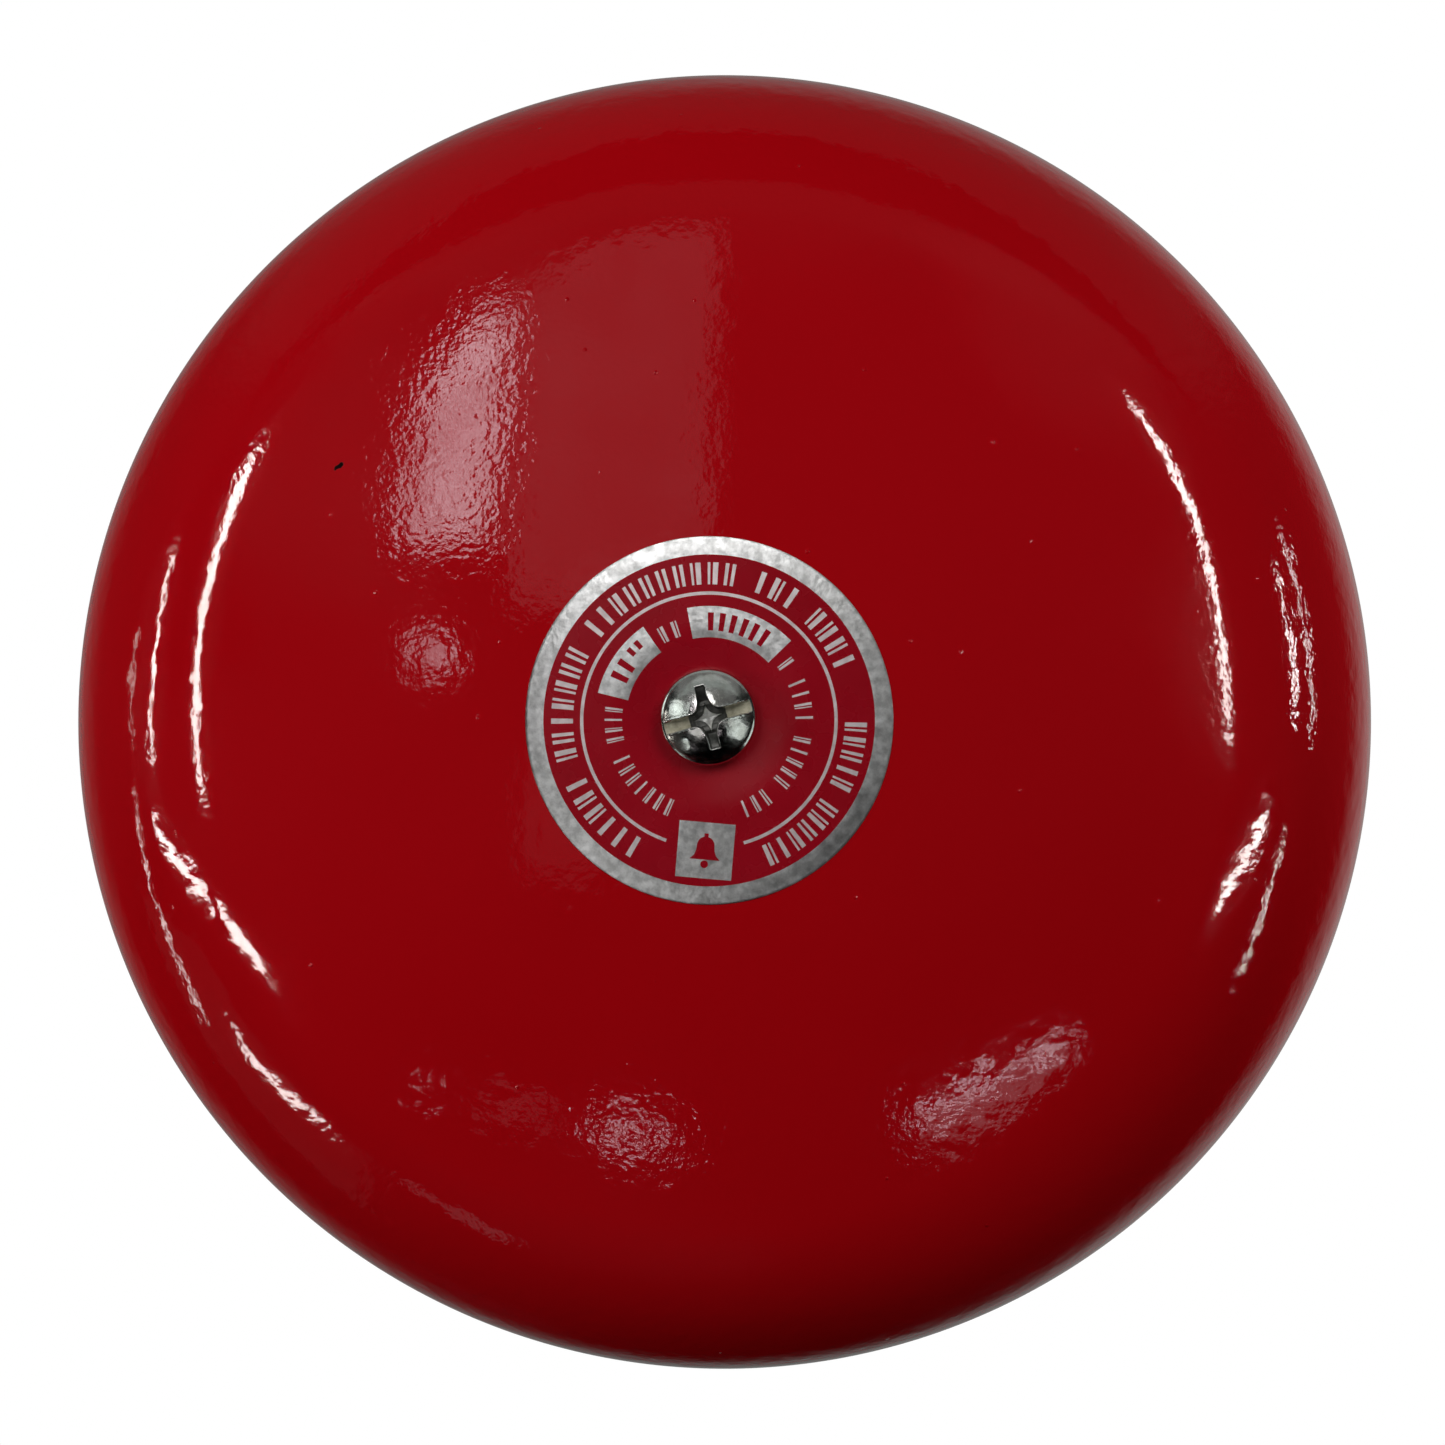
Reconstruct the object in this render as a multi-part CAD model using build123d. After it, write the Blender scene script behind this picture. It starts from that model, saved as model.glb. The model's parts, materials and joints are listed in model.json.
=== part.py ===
from build123d import *
import math
import os

# Fire alarm bell with a 150 mm gong over an AC solenoid striker.
#
# Every piece is drawn in bell axes: X to the right, Y up the wall and Z out of the wall, towards
# whoever faces the bell. wall_mounted() turns them into the row frame, where +Z is up and the gong
# faces -Y. The origin is the centre of the back face, which lies on the wall. All sizes are in mm.

# ---- gong -----------------------------------------------------------------------------------
GONG_RADIUS = 75.0          # at the lip
GONG_DEPTH = 41.0           # lip to crown
GONG_WALL = 1.5
LIP_Z = 16.0                # how far the lip stands off the wall
CROWN_RADIUS = 210.0        # the shallow dome in the middle
SHOULDER_RADIUS = 25.0
SKIRT_FLARE = 3.0           # degrees
SEAT_DEPTH = 0.8            # pressed seat for the centre screw
SEAT_RADIUS = 5.9
SEAT_RIM_RADIUS = 7.4
GONG_HOLE_RADIUS = 3.3

# ---- nameplate foil and centre screw ----------------------------------------------------------
FOIL_RADIUS = 20.0
FOIL_THICKNESS = 0.15
FOIL_HOLE_RADIUS = 3.6
HEAD_RADIUS = 5.25          # M6 pan head with a slot and a cross recess
HEAD_HEIGHT = 3.9
HEAD_EDGE = 0.9
SLOT_WIDTH = 1.35
SLOT_DEPTH = 1.9
CROSS_SPAN = 6.6
CROSS_DEPTH = 2.9
SLOT_TILT = 15.0            # degrees the slot is left turned to
M8_SHANK, M6_SHANK, M4_SHANK, M3_SHANK = 3.95, 2.95, 1.95, 1.45
GONG_SCREW_LENGTH = 16.0
M4_HEAD = (3.9, 2.8, 0.6)   # radius, height and straight edge of a pan head
M3_HEAD = (2.8, 2.0, 0.5)
FIT = 0.05                  # radial gap between a fastener and its hole
HOLE_PLAY = 0.15            # the same in a clearance hole
WASHER = 1.0                # thickness of the plain and spring washers

# ---- base casting -------------------------------------------------------------------------------
BASE_RADIUS = 55.0
BASE_HEIGHT = 14.0
BASE_WALL = 2.5
FLOOR = 3.0
BASE_DRAFT = 0.6            # how much smaller the rim is than the back
BOSS_RADIUS = 10.0
BOSS_HEIGHT = 12.0
LUG_ANGLES = (30, 150, 270)
LUG_CIRCLE = 62.0           # radius of the wall screw circle
LUG_RADIUS = 7.5
LUG_THICKNESS = 4.0
LUG_HOLE_RADIUS = 2.75
BACK_RELIEF = 1.2
ROOT = 0.5                  # bosses start this far inside the floor
COVER_SCREW_CIRCLE = 44.5
HOLE_FLOOR = 1.8            # how near the back the screw holes of the bosses come
PILLAR_RADIUS = 4.4         # under the solenoid frame
COVER_PILLAR_RADIUS, COVER_PILLAR_DRAFT = 4.4, 0.6
COVER_PILLAR_TOP = 30.0     # three of them carry the cover
COVER_PILLAR_HOLE = 13.0    # depth of the screw hole in each
SMALL_BOSS_RADIUS = 3.2     # for M3 screws
GROMMET_X, GROMMET_Y = -32.0, -22.0
GROMMET_BORE, GROMMET_NECK, GROMMET_FLANGE = 4.0, 7.0, 9.5
GROMMET_PANEL = (1.8, 4.5)  # the floor between its two flanges
GROMMET_LIP = 1.5
EARTH_X, EARTH_Y, EARTH_TOP = 31.0, -20.0, 8.0
EARTH_BOSS_RADIUS = 4.8
STAR_WASHER = 0.6
CLAMP_X, CLAMP_Y, CLAMP_HALF_SPAN = -20.0, -37.5, 5.5
CLAMP_TOP = 8.0
CLAMP_BAR = 3.0

# ---- cover --------------------------------------------------------------------------------------
GASKET_THICKNESS = 1.0
COVER_LOW = BASE_HEIGHT + GASKET_THICKNESS
COVER_TOP = 38.5
COVER_RADIUS = 54.0
COVER_DRAFT = 1.4
COVER_WALL = 2.2
COVER_CORNER = 6.0
COVER_BOSS_RADIUS = 5.0     # round each screw, inside and out
COVER_BOSS_RISE = 0.8
COVER_SCREW_LENGTH = 20.0
POST_RADIUS = 6.0
POST_COLLAR_FLATS, POST_COLLAR_HEIGHT = 14.0, 5.0
POST_LOCK_WASHER = 1.2
POST_STUD_END = 4.5
SEAL_RADIUS = 8.6

# ---- solenoid, measured along the stroke from the bell's axis -------------------------------------
STRIKE_Z = 23.0             # height of the stroke axis over the wall
STROKE = 3.3
STRIKE_GAP = 0.35           # left between striker and gong at full stroke
FRAME_LOW, FRAME_HIGH = 15.0, 42.0
FRAME_PLATE = 2.5
FRAME_WIDTH = 26.0
FRAME_SEAT = 8.5            # the pillars' top, under the frame
FRAME_TOP = 31.0
FRAME_BEND = 3.0
EAR_REACH = 22.5
EAR_MARGIN = 3.0            # how far the ears stay back from the bends
EAR_SCREW_X, EAR_SCREW_INSET = 18.0, 5.5
WINDOW_LOW = FRAME_LOW + FRAME_PLATE
WINDOW_HIGH = FRAME_HIGH - FRAME_PLATE
TUBE_RADIUS, TUBE_BORE = 5.0, 4.5
TUBE_LOW = FRAME_LOW - 5.5
CORE_SPIGOT = 4.0
TUBE_END = 1.0
BUFFER_THICKNESS = 2.0
PLUNGER_RADIUS = 4.4
PLUNGER_LOW = TUBE_LOW + TUBE_END + BUFFER_THICKNESS + 0.1
PLUNGER_HIGH = 28.0
CORE_LOW = PLUNGER_HIGH + STROKE + 0.2
CORE_BORE = 2.1
SPRING_WELL_RADIUS = 3.6
SPRING_WELL_DEPTH = 7.0
SPRING_RADIUS = 2.9
SPRING_WIRE = 0.3
SPRING_TURNS = 8
ROD_RADIUS = 2.0
PORT_RADIUS = 7.4
PORT_END = 56.0
BUSH_RADIUS = 4.5
BUSH_LOW = 47.0
BUSH_FLANGE = 1.5
BUSH_FLANGE_RADIUS = 6.5
TIP_RADIUS = 5.0
TIP_LENGTH = 8.0
TIP_DOME = 8.0
LOCKNUT = 3.2

# ---- terminal block -------------------------------------------------------------------------------
BLOCK_WIDTH, BLOCK_HEIGHT = 24.0, 13.0
BLOCK_LOW, BLOCK_HIGH = -38.0, -23.0
BLOCK_MIDDLE = (BLOCK_LOW + BLOCK_HIGH) / 2
BLOCK_SEAT = 4.5
BLOCK_TOP = BLOCK_SEAT + BLOCK_HEIGHT
BLOCK_SCREW_SEAT = 7.0
POLE_X = 5.8
BARREL_SIDE = 6.0
BARREL_Z = BLOCK_SEAT + 6.0
BARREL_BORE = 1.7
WIRE_RADIUS = 0.9

GONG_TOP = LIP_Z + GONG_DEPTH
SEAT_TOP = GONG_TOP - SEAT_DEPTH
FIBRE_WASHER = 1.0
POST_TOP = SEAT_TOP - GONG_WALL - FIBRE_WASHER
SKIRT_ANGLE = math.radians(90 - SKIRT_FLARE)
CROWN_CENTRE_Z = GONG_TOP - CROWN_RADIUS


# ---- small helpers --------------------------------------------------------------------------------
def wall_mounted(shape):
    """Turns bell axes (Z out of the wall) into the row frame (Z up, the gong facing -Y)."""
    return Rot(90, 0, 0) * shape


def write(shape, node):
    export_step(wall_mounted(shape), f"parts/{node}.step")


def rod(radius, low, high, x=0.0, y=0.0):
    """A cylinder along Z from low to high."""
    return Pos(x, y, (low + high) / 2) * Cylinder(radius, high - low)


def cone(low_radius, high_radius, low, high):
    """A truncated cone along Z, centred on the axis."""
    return Pos(0, 0, low) * Cone(low_radius, high_radius, high - low,
                                 align=(Align.CENTER, Align.CENTER, Align.MIN))


def ring(outer, inner, low, high, x=0.0, y=0.0):
    return rod(outer, low, high, x, y) - rod(inner, low - 1, high + 1, x, y)


def hexagon(across_flats, low, high, x=0.0, y=0.0):
    profile = RegularPolygon(across_flats / 2, 6, major_radius=False)
    return Pos(x, y, low) * extrude(profile, high - low)


def block(x0, x1, y0, y1, z0, z1):
    return Pos((x0 + x1) / 2, (y0 + y1) / 2, (z0 + z1) / 2) * Box(x1 - x0, y1 - y0, z1 - z0)


def turned(*edges):
    """The solid that a closed profile in the XZ plane sweeps round the Z axis."""
    return revolve(make_face(Wire(edges)), Axis.Z)


def turned_polygon(*points):
    return revolve(make_face(Polyline(*[(r, 0, z) for r, z in points], close=True)), Axis.Z)


def on_stroke(shape):
    """Lays a shape drawn along Z on the stroke axis, which runs up the wall at STRIKE_Z."""
    return Plane(origin=(0, 0, STRIKE_Z), x_dir=(1, 0, 0), z_dir=(0, 1, 0)).location * shape


def on_circle(radius, degrees):
    angle = math.radians(degrees)
    return radius * math.cos(angle), radius * math.sin(angle)


def group(shapes):
    return Compound(children=list(shapes))


def routed_tube(points, radius):
    """A wire along straight runs joined by arcs as large as the two runs at each corner allow."""
    vectors = [Vector(*p) for p in points]
    runs = [b - a for a, b in zip(vectors, vectors[1:])]
    bends = []
    for before, after in zip(runs, runs[1:]):
        half_turn = math.radians(before.get_angle(after)) / 2
        bends.append(0.45 * min(before.length, after.length) / math.tan(half_turn))
    path = FilletPolyline(*points, radius=bends)
    tube = sweep(Plane(origin=path @ 0, z_dir=path % 0) * Circle(radius), path=path)
    print("wire bends", [round(b, 1) for b in bends], "length", round(path.length, 1),
          "volume share", round(tube.volume / (math.pi * radius**2 * path.length), 3))
    return tube


# ---- gong surface ---------------------------------------------------------------------------------
def shoulder_start():
    """Angle from the axis at which the crown turns into the shoulder, so that the lip comes out at
    GONG_RADIUS: crown and shoulder arcs and the flared skirt are tangent to each other."""
    flare = 1 / math.tan(SKIRT_ANGLE)
    skirt_top = GONG_DEPTH - CROWN_RADIUS + SHOULDER_RADIUS * math.cos(SKIRT_ANGLE)
    reach = GONG_RADIUS - SHOULDER_RADIUS * math.sin(SKIRT_ANGLE) - flare * skirt_top
    share = reach / (CROWN_RADIUS - SHOULDER_RADIUS) / math.hypot(1, flare)
    return math.asin(share) - math.atan(flare)


SHOULDER_ANGLE = shoulder_start()
SHOULDER_CENTRE_R = (CROWN_RADIUS - SHOULDER_RADIUS) * math.sin(SHOULDER_ANGLE)
SHOULDER_CENTRE_Z = CROWN_CENTRE_Z + (CROWN_RADIUS - SHOULDER_RADIUS) * math.cos(SHOULDER_ANGLE)


def crown_point(offset, angle):
    radius = CROWN_RADIUS + offset
    return radius * math.sin(angle), 0, CROWN_CENTRE_Z + radius * math.cos(angle)


def crown_at(offset, r):
    """The crown's point at distance r from the axis, on the surface that lies offset outside it."""
    return crown_point(offset, math.asin(r / (CROWN_RADIUS + offset)))


def shoulder_point(offset, angle):
    radius = SHOULDER_RADIUS + offset
    return SHOULDER_CENTRE_R + radius * math.sin(angle), 0, SHOULDER_CENTRE_Z + radius * math.cos(angle)


def crown_arc(offset, r_from, r_to):
    ends = crown_at(offset, r_from), crown_at(offset, r_to)
    return ThreePointArc(ends[0], crown_at(offset, (r_from + r_to) / 2), ends[1])


def shoulder_arc(offset):
    middle = (SHOULDER_ANGLE + SKIRT_ANGLE) / 2
    return ThreePointArc(shoulder_point(offset, SHOULDER_ANGLE), shoulder_point(offset, middle),
                         shoulder_point(offset, SKIRT_ANGLE))


def lip_point(offset):
    r, _, z = shoulder_point(offset, SKIRT_ANGLE)
    return r + (z - LIP_Z) / math.tan(SKIRT_ANGLE), 0, LIP_Z


def seat_edges(offset, hole):
    """Flat screw seat and the slope from it up to the crown."""
    flat_end = (SEAT_RADIUS, 0, SEAT_TOP + offset)
    return Line((hole, 0, SEAT_TOP + offset), flat_end), Line(flat_end, crown_at(offset, SEAT_RIM_RADIUS))


def skin_edges(offset):
    """The whole surface, hole to lip, that lies offset outside the gong's outer face."""
    crown_end = CROWN_RADIUS * math.sin(SHOULDER_ANGLE) + offset * math.sin(SHOULDER_ANGLE)
    return [*seat_edges(offset, GONG_HOLE_RADIUS), crown_arc(offset, SEAT_RIM_RADIUS, crown_end),
            shoulder_arc(offset), Line(shoulder_point(offset, SKIRT_ANGLE), lip_point(offset))]


def make_gong():
    lip_out, lip_in = lip_point(0), lip_point(-GONG_WALL)
    lip_middle = ((lip_out[0] + lip_in[0]) / 2, 0, LIP_Z - GONG_WALL * 0.3)
    hole = Line((GONG_HOLE_RADIUS, 0, SEAT_TOP - GONG_WALL), (GONG_HOLE_RADIUS, 0, SEAT_TOP))
    lip = ThreePointArc(lip_out, lip_middle, lip_in)
    return turned(*skin_edges(0), lip, *skin_edges(-GONG_WALL), hole)


def make_nameplate_foil():
    lower = [*seat_edges(0, FOIL_HOLE_RADIUS), crown_arc(0, SEAT_RIM_RADIUS, FOIL_RADIUS)]
    upper = [*seat_edges(FOIL_THICKNESS, FOIL_HOLE_RADIUS),
             crown_arc(FOIL_THICKNESS, SEAT_RIM_RADIUS, FOIL_RADIUS)]
    inner = Line((FOIL_HOLE_RADIUS, 0, SEAT_TOP), (FOIL_HOLE_RADIUS, 0, SEAT_TOP + FOIL_THICKNESS))
    outer = Line(crown_at(0, FOIL_RADIUS), crown_at(FOIL_THICKNESS, FOIL_RADIUS))
    return turned(*lower, outer, *upper, inner)


# ---- fasteners ------------------------------------------------------------------------------------
def domed_head(radius, height, edge, z=0.0):
    """A pan head standing on z: a short straight edge under one spherical cap."""
    centre = (height**2 - edge**2 - radius**2) / (2 * (height - edge))
    sphere = height - centre
    half = math.asin(radius / sphere) / 2
    middle = (sphere * math.sin(half), 0, z + centre + sphere * math.cos(half))
    top, rim, foot = (0, 0, z + height), (radius, 0, z + edge), (radius, 0, z)
    return turned(Line((0, 0, z), foot), Line(foot, rim), ThreePointArc(rim, middle, top),
                  Line(top, (0, 0, z)))


def cross_cutter(span, width, depth, top):
    """A tapered cross recess with rounded inner corners, its mouth at the height top."""
    arms = Rectangle(span, width) + Rectangle(width, span)
    corners = arms.vertices().group_by(lambda v: round(math.hypot(v.X, v.Y), 3))[0]
    arms = fillet(corners, width * 0.45)
    return Pos(0, 0, top) * extrude(arms, -depth, taper=9)


def pan_screw(head, shank_radius, shank):
    """A cross-recessed pan head screw whose head stands on Z = 0 and whose shank runs down."""
    radius, height, edge = head
    point = shank_radius * 0.5
    cutter = cross_cutter(radius * 1.15, radius * 0.26, height * 0.65, height)
    tip = cone(shank_radius * 0.7, shank_radius, -shank, point - shank)
    return domed_head(radius, height, edge) - cutter + rod(shank_radius, point - shank, 0) + tip


def grub_screw(radius, low, high):
    """A headless clamp screw with a slot in its top."""
    slot = block(-radius, radius, -0.3, 0.3, high - 0.8, high + 1)
    return rod(radius, low, high) - slot


def make_gong_screw():
    seat = SEAT_TOP + FOIL_THICKNESS
    head = domed_head(HEAD_RADIUS, HEAD_HEIGHT, HEAD_EDGE)
    slot = block(-HEAD_RADIUS - 1, HEAD_RADIUS + 1, -SLOT_WIDTH / 2, SLOT_WIDTH / 2,
                 HEAD_HEIGHT - SLOT_DEPTH, HEAD_HEIGHT + 1)
    cross = cross_cutter(CROSS_SPAN, SLOT_WIDTH * 1.2, CROSS_DEPTH, HEAD_HEIGHT)
    screw = head - slot - cross + rod(M6_SHANK, -GONG_SCREW_LENGTH, 0)
    return Pos(0, 0, seat) * Rot(0, 0, SLOT_TILT) * screw


def make_gong_washer():
    return ring(SEAT_RADIUS + 1.6, M6_SHANK + FIT, POST_TOP, POST_TOP + FIBRE_WASHER)


def make_gong_post():
    collar_low = BOSS_HEIGHT + POST_LOCK_WASHER
    collar_high = collar_low + POST_COLLAR_HEIGHT
    half = POST_COLLAR_FLATS / 2
    stud = rod(M8_SHANK, POST_STUD_END, collar_low)
    collar = hexagon(POST_COLLAR_FLATS, collar_low, collar_high) & cone(
        half + 2.2, half + 0.6, collar_low, collar_high)
    pillar = chamfer(rod(POST_RADIUS, collar_high, POST_TOP).edges().group_by(Axis.Z)[-1], 0.6)
    return stud + collar + pillar - rod(M6_SHANK + FIT, SEAT_TOP - GONG_SCREW_LENGTH - 4, POST_TOP + 1)


def make_post_lock_washer():
    """A split spring washer under the post's collar."""
    washer = ring(7.2, M8_SHANK + HOLE_PLAY, BOSS_HEIGHT, BOSS_HEIGHT + POST_LOCK_WASHER)
    return washer - Rot(0, 0, 40) * block(3, 8, -0.4, 0.4, BOSS_HEIGHT - 1, BOSS_HEIGHT + 3)


# ---- base casting ---------------------------------------------------------------------------------
FRAME_SCREWS = [(x, y) for x in (-EAR_SCREW_X, EAR_SCREW_X)
                for y in (FRAME_LOW + EAR_SCREW_INSET, FRAME_HIGH - EAR_SCREW_INSET)]
COVER_SCREWS = [on_circle(COVER_SCREW_CIRCLE, a) for a in LUG_ANGLES]
CLAMP_SCREWS = [(CLAMP_X, CLAMP_Y - CLAMP_HALF_SPAN), (CLAMP_X, CLAMP_Y + CLAMP_HALF_SPAN)]


def base_shell():
    rim, inner = BASE_RADIUS - BASE_DRAFT, BASE_RADIUS - BASE_WALL
    shell = turned_polygon((0, 0), (BASE_RADIUS, 0), (rim, BASE_HEIGHT), (rim - BASE_WALL + 0.4, BASE_HEIGHT),
                           (inner - 0.6, FLOOR), (0, FLOOR))
    back_edge = shell.edges().filter_by(GeomType.CIRCLE).sort_by(Axis.Z)[0]
    shell = fillet(back_edge, 1.0)
    floor_edge = shell.edges().filter_by(GeomType.CIRCLE).filter_by(
        lambda e: abs(e.center().Z - FLOOR) < 1e-3)
    return fillet(floor_edge, 2.0)


def mounting_lug(degrees):
    """One ear with its screw hole, a raised seat round the hole and two ribs up the side wall."""
    start = BASE_RADIUS - BASE_WALL
    ear = rod(LUG_RADIUS, 0, LUG_THICKNESS, LUG_CIRCLE) + block(
        start, LUG_CIRCLE, -LUG_RADIUS, LUG_RADIUS, 0, LUG_THICKNESS)
    ear = ear + rod(5.6, LUG_THICKNESS, LUG_THICKNESS + 0.8, LUG_CIRCLE)
    for side in (-1, 1):
        rib = Plane.XZ * Polyline((start, 1), (LUG_CIRCLE - 1, 1), (LUG_CIRCLE - 1, LUG_THICKNESS),
                                  (start + 1.5, BASE_HEIGHT - 3), (start, BASE_HEIGHT - 3), close=True)
        ear = ear + Pos(0, side * (LUG_RADIUS - 1.2) + 0.8, 0) * extrude(make_face(rib), 1.6)
    return Rot(0, 0, degrees) * (ear - rod(LUG_HOLE_RADIUS, -1, LUG_THICKNESS + 2, LUG_CIRCLE))


def back_relief():
    """Shallow pockets in the back between ribs, so that only the rim, hub and ribs touch the wall."""
    pocket = ring(BASE_RADIUS - 8, BOSS_RADIUS + 3, -1, BACK_RELIEF)
    for k in range(6):
        pocket -= Rot(0, 0, 60 * k) * block(0, BASE_RADIUS, -1.2, 1.2, -2, BACK_RELIEF + 1)
    return pocket - rod(GROMMET_FLANGE + 3, -2, BACK_RELIEF + 1, GROMMET_X, GROMMET_Y)


def knockout_groove():
    """A thinned arch in the side wall, to break out for a cable run along the wall."""
    arch = block(BASE_RADIUS - 1.3, BASE_RADIUS + 2, -4, 4, -1, 5) + Pos(BASE_RADIUS + 0.35, 0, 5) * Rot(
        0, 90, 0) * Cylinder(4, 3.3)
    return Rot(0, 0, 225) * arch


def cover_pillar():
    root = COVER_PILLAR_RADIUS + COVER_PILLAR_DRAFT
    return turned_polygon((0, ROOT), (root, ROOT), (COVER_PILLAR_RADIUS, COVER_PILLAR_TOP), (0, COVER_PILLAR_TOP))


def make_base_casting():
    base = base_shell() + rod(BOSS_RADIUS, 0, BOSS_HEIGHT)
    for degrees in LUG_ANGLES:
        base += mounting_lug(degrees)
    for x, y in FRAME_SCREWS:
        base += rod(PILLAR_RADIUS, ROOT, FRAME_SEAT, x, y)
    for x, y in COVER_SCREWS:
        base += Pos(x, y, 0) * cover_pillar()
    for x, y in CLAMP_SCREWS:
        base += rod(SMALL_BOSS_RADIUS, ROOT, CLAMP_TOP, x, y)
    base += rod(EARTH_BOSS_RADIUS, ROOT, EARTH_TOP, EARTH_X, EARTH_Y)
    base += rod(GROMMET_FLANGE + 1.5, ROOT, GROMMET_PANEL[1], GROMMET_X, GROMMET_Y)
    for x in (-9, 9):
        base += block(x - 2, x + 2, BLOCK_LOW + 2, BLOCK_HIGH - 2, ROOT + BACK_RELIEF, BLOCK_SEAT)
    base += rod(SMALL_BOSS_RADIUS, ROOT, BLOCK_SEAT, 0, BLOCK_MIDDLE)

    base -= back_relief()
    base -= knockout_groove()
    base -= rod(M8_SHANK + FIT, POST_STUD_END - 1, BOSS_HEIGHT + 1)
    for x, y in FRAME_SCREWS:
        base -= rod(M4_SHANK + FIT, HOLE_FLOOR, FRAME_SEAT + 1, x, y)
    for x, y in COVER_SCREWS:
        base -= rod(M4_SHANK + FIT, COVER_PILLAR_TOP - COVER_PILLAR_HOLE, COVER_PILLAR_TOP + 1, x, y)
    for x, y in [*CLAMP_SCREWS, (0, BLOCK_MIDDLE)]:
        base -= rod(M3_SHANK + FIT, HOLE_FLOOR, CLAMP_TOP + 1, x, y)
    base -= rod(M4_SHANK + FIT, HOLE_FLOOR, EARTH_TOP + 1, EARTH_X, EARTH_Y)
    base -= rod(GROMMET_NECK, -1, 10, GROMMET_X, GROMMET_Y)
    return base - rod(GROMMET_FLANGE + 0.3, -1, GROMMET_PANEL[0], GROMMET_X, GROMMET_Y)


def make_cable_grommet():
    low, high = GROMMET_PANEL
    foot, edge = 0.2, 0.5
    profile = [(GROMMET_BORE, foot), (GROMMET_FLANGE - edge, foot), (GROMMET_FLANGE, foot + edge),
               (GROMMET_FLANGE, low), (GROMMET_NECK, low), (GROMMET_NECK, high), (GROMMET_FLANGE, high),
               (GROMMET_FLANGE - 2 * edge, high + GROMMET_LIP), (GROMMET_BORE, high + GROMMET_LIP)]
    return Pos(GROMMET_X, GROMMET_Y, 0) * turned_polygon(*profile)


def make_earth_screw():
    return Pos(EARTH_X, EARTH_Y, EARTH_TOP + STAR_WASHER + WASHER) * pan_screw(M4_HEAD, M4_SHANK, 7.5)


def make_earth_cup_washer():
    """A square saddle washer with two upturned sides that hold the earth wire under the screw."""
    half, inside, side_top = 4.5, 4.0, 3.0
    cup = block(-half, half, -half, half, STAR_WASHER, side_top)
    cup -= block(-inside, inside, -half - 1, half + 1, STAR_WASHER + WASHER, side_top + 1)
    return Pos(EARTH_X, EARTH_Y, EARTH_TOP) * (cup - rod(M4_SHANK + FIT, 0, side_top))


def make_earth_star_washer():
    """A toothed washer that bites through the enamel."""
    disc = ring(3.4, M4_SHANK + FIT, 0, STAR_WASHER)
    for k in range(12):
        disc += Rot(0, 0, 30 * k) * block(3.2, 4.2, -0.4, 0.4, 0, STAR_WASHER)
    return Pos(EARTH_X, EARTH_Y, EARTH_TOP) * disc


def make_cable_clamp():
    """A moulded bar that presses the supply cable down between its two screws."""
    outline = SlotCenterToCenter(2 * CLAMP_HALF_SPAN, 2 * SMALL_BOSS_RADIUS, rotation=90)
    bar = extrude(outline, CLAMP_BAR)
    bar -= Pos(0, 0, -1.2) * Rot(0, 90, 0) * Cylinder(2.9, 4 * SMALL_BOSS_RADIUS)
    for side in (-1, 1):
        bar -= rod(M3_SHANK + FIT, -1, CLAMP_BAR + 1, 0, side * CLAMP_HALF_SPAN)
    return Pos(CLAMP_X, CLAMP_Y, CLAMP_TOP) * bar


def make_clamp_screws():
    screw = pan_screw(M3_HEAD, M3_SHANK, 8.5)
    return group(Pos(x, y, CLAMP_TOP + CLAMP_BAR) * screw for x, y in CLAMP_SCREWS)


# ---- cover ----------------------------------------------------------------------------------------
def cover_shell():
    top = COVER_RADIUS - COVER_DRAFT
    outer = turned_polygon((0, COVER_LOW), (COVER_RADIUS, COVER_LOW), (top, COVER_TOP), (0, COVER_TOP))
    outer = fillet(outer.edges().group_by(Axis.Z)[-1], COVER_CORNER)
    inner = turned_polygon((0, COVER_LOW - 1), (COVER_RADIUS - COVER_WALL, COVER_LOW - 1),
                           (top - COVER_WALL, COVER_TOP - COVER_WALL), (0, COVER_TOP - COVER_WALL))
    inner = fillet(inner.edges().group_by(Axis.Z)[-1], COVER_CORNER - COVER_WALL)
    return outer - inner


def make_housing_cover():
    cover = cover_shell()
    inner_top = COVER_TOP - COVER_WALL
    for x, y in COVER_SCREWS:
        cover += rod(COVER_BOSS_RADIUS, COVER_PILLAR_TOP, COVER_TOP + COVER_BOSS_RISE, x, y)
    port = on_stroke(rod(PORT_RADIUS, COVER_RADIUS - 5.5, PORT_END))
    cover += chamfer(port.edges().group_by(Axis.Y)[-1], 0.8)
    cover += ring(SEAL_RADIUS + 2.4, SEAL_RADIUS, inner_top, COVER_TOP + 1.2)
    for k in range(6):
        cover += Rot(0, 0, 60 * k) * block(14, 34, -0.9, 0.9, inner_top, COVER_TOP + 0.8)
    cover += ring(36, 34.2, inner_top, COVER_TOP + 0.8)
    for x, y in COVER_SCREWS:
        cover -= rod(M4_SHANK + HOLE_PLAY, COVER_PILLAR_TOP - 1, COVER_TOP + 2, x, y)
    cover -= rod(SEAL_RADIUS, inner_top - 1, COVER_TOP + 3)
    return cover - on_stroke(rod(BUSH_RADIUS, BUSH_LOW - 2, PORT_END + 1))


def make_cover_gasket():
    outer = BASE_RADIUS - BASE_DRAFT - 0.2
    return ring(outer, outer - 2.4, BASE_HEIGHT, COVER_LOW)


def make_cover_screws():
    screw = pan_screw(M4_HEAD, M4_SHANK, COVER_SCREW_LENGTH)
    return group(Pos(x, y, COVER_TOP + COVER_BOSS_RISE + WASHER) * screw for x, y in COVER_SCREWS)


def make_cover_screw_washers():
    low = COVER_TOP + COVER_BOSS_RISE
    return group(ring(4.3, M4_SHANK + FIT, low, low + WASHER, x, y) for x, y in COVER_SCREWS)


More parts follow.
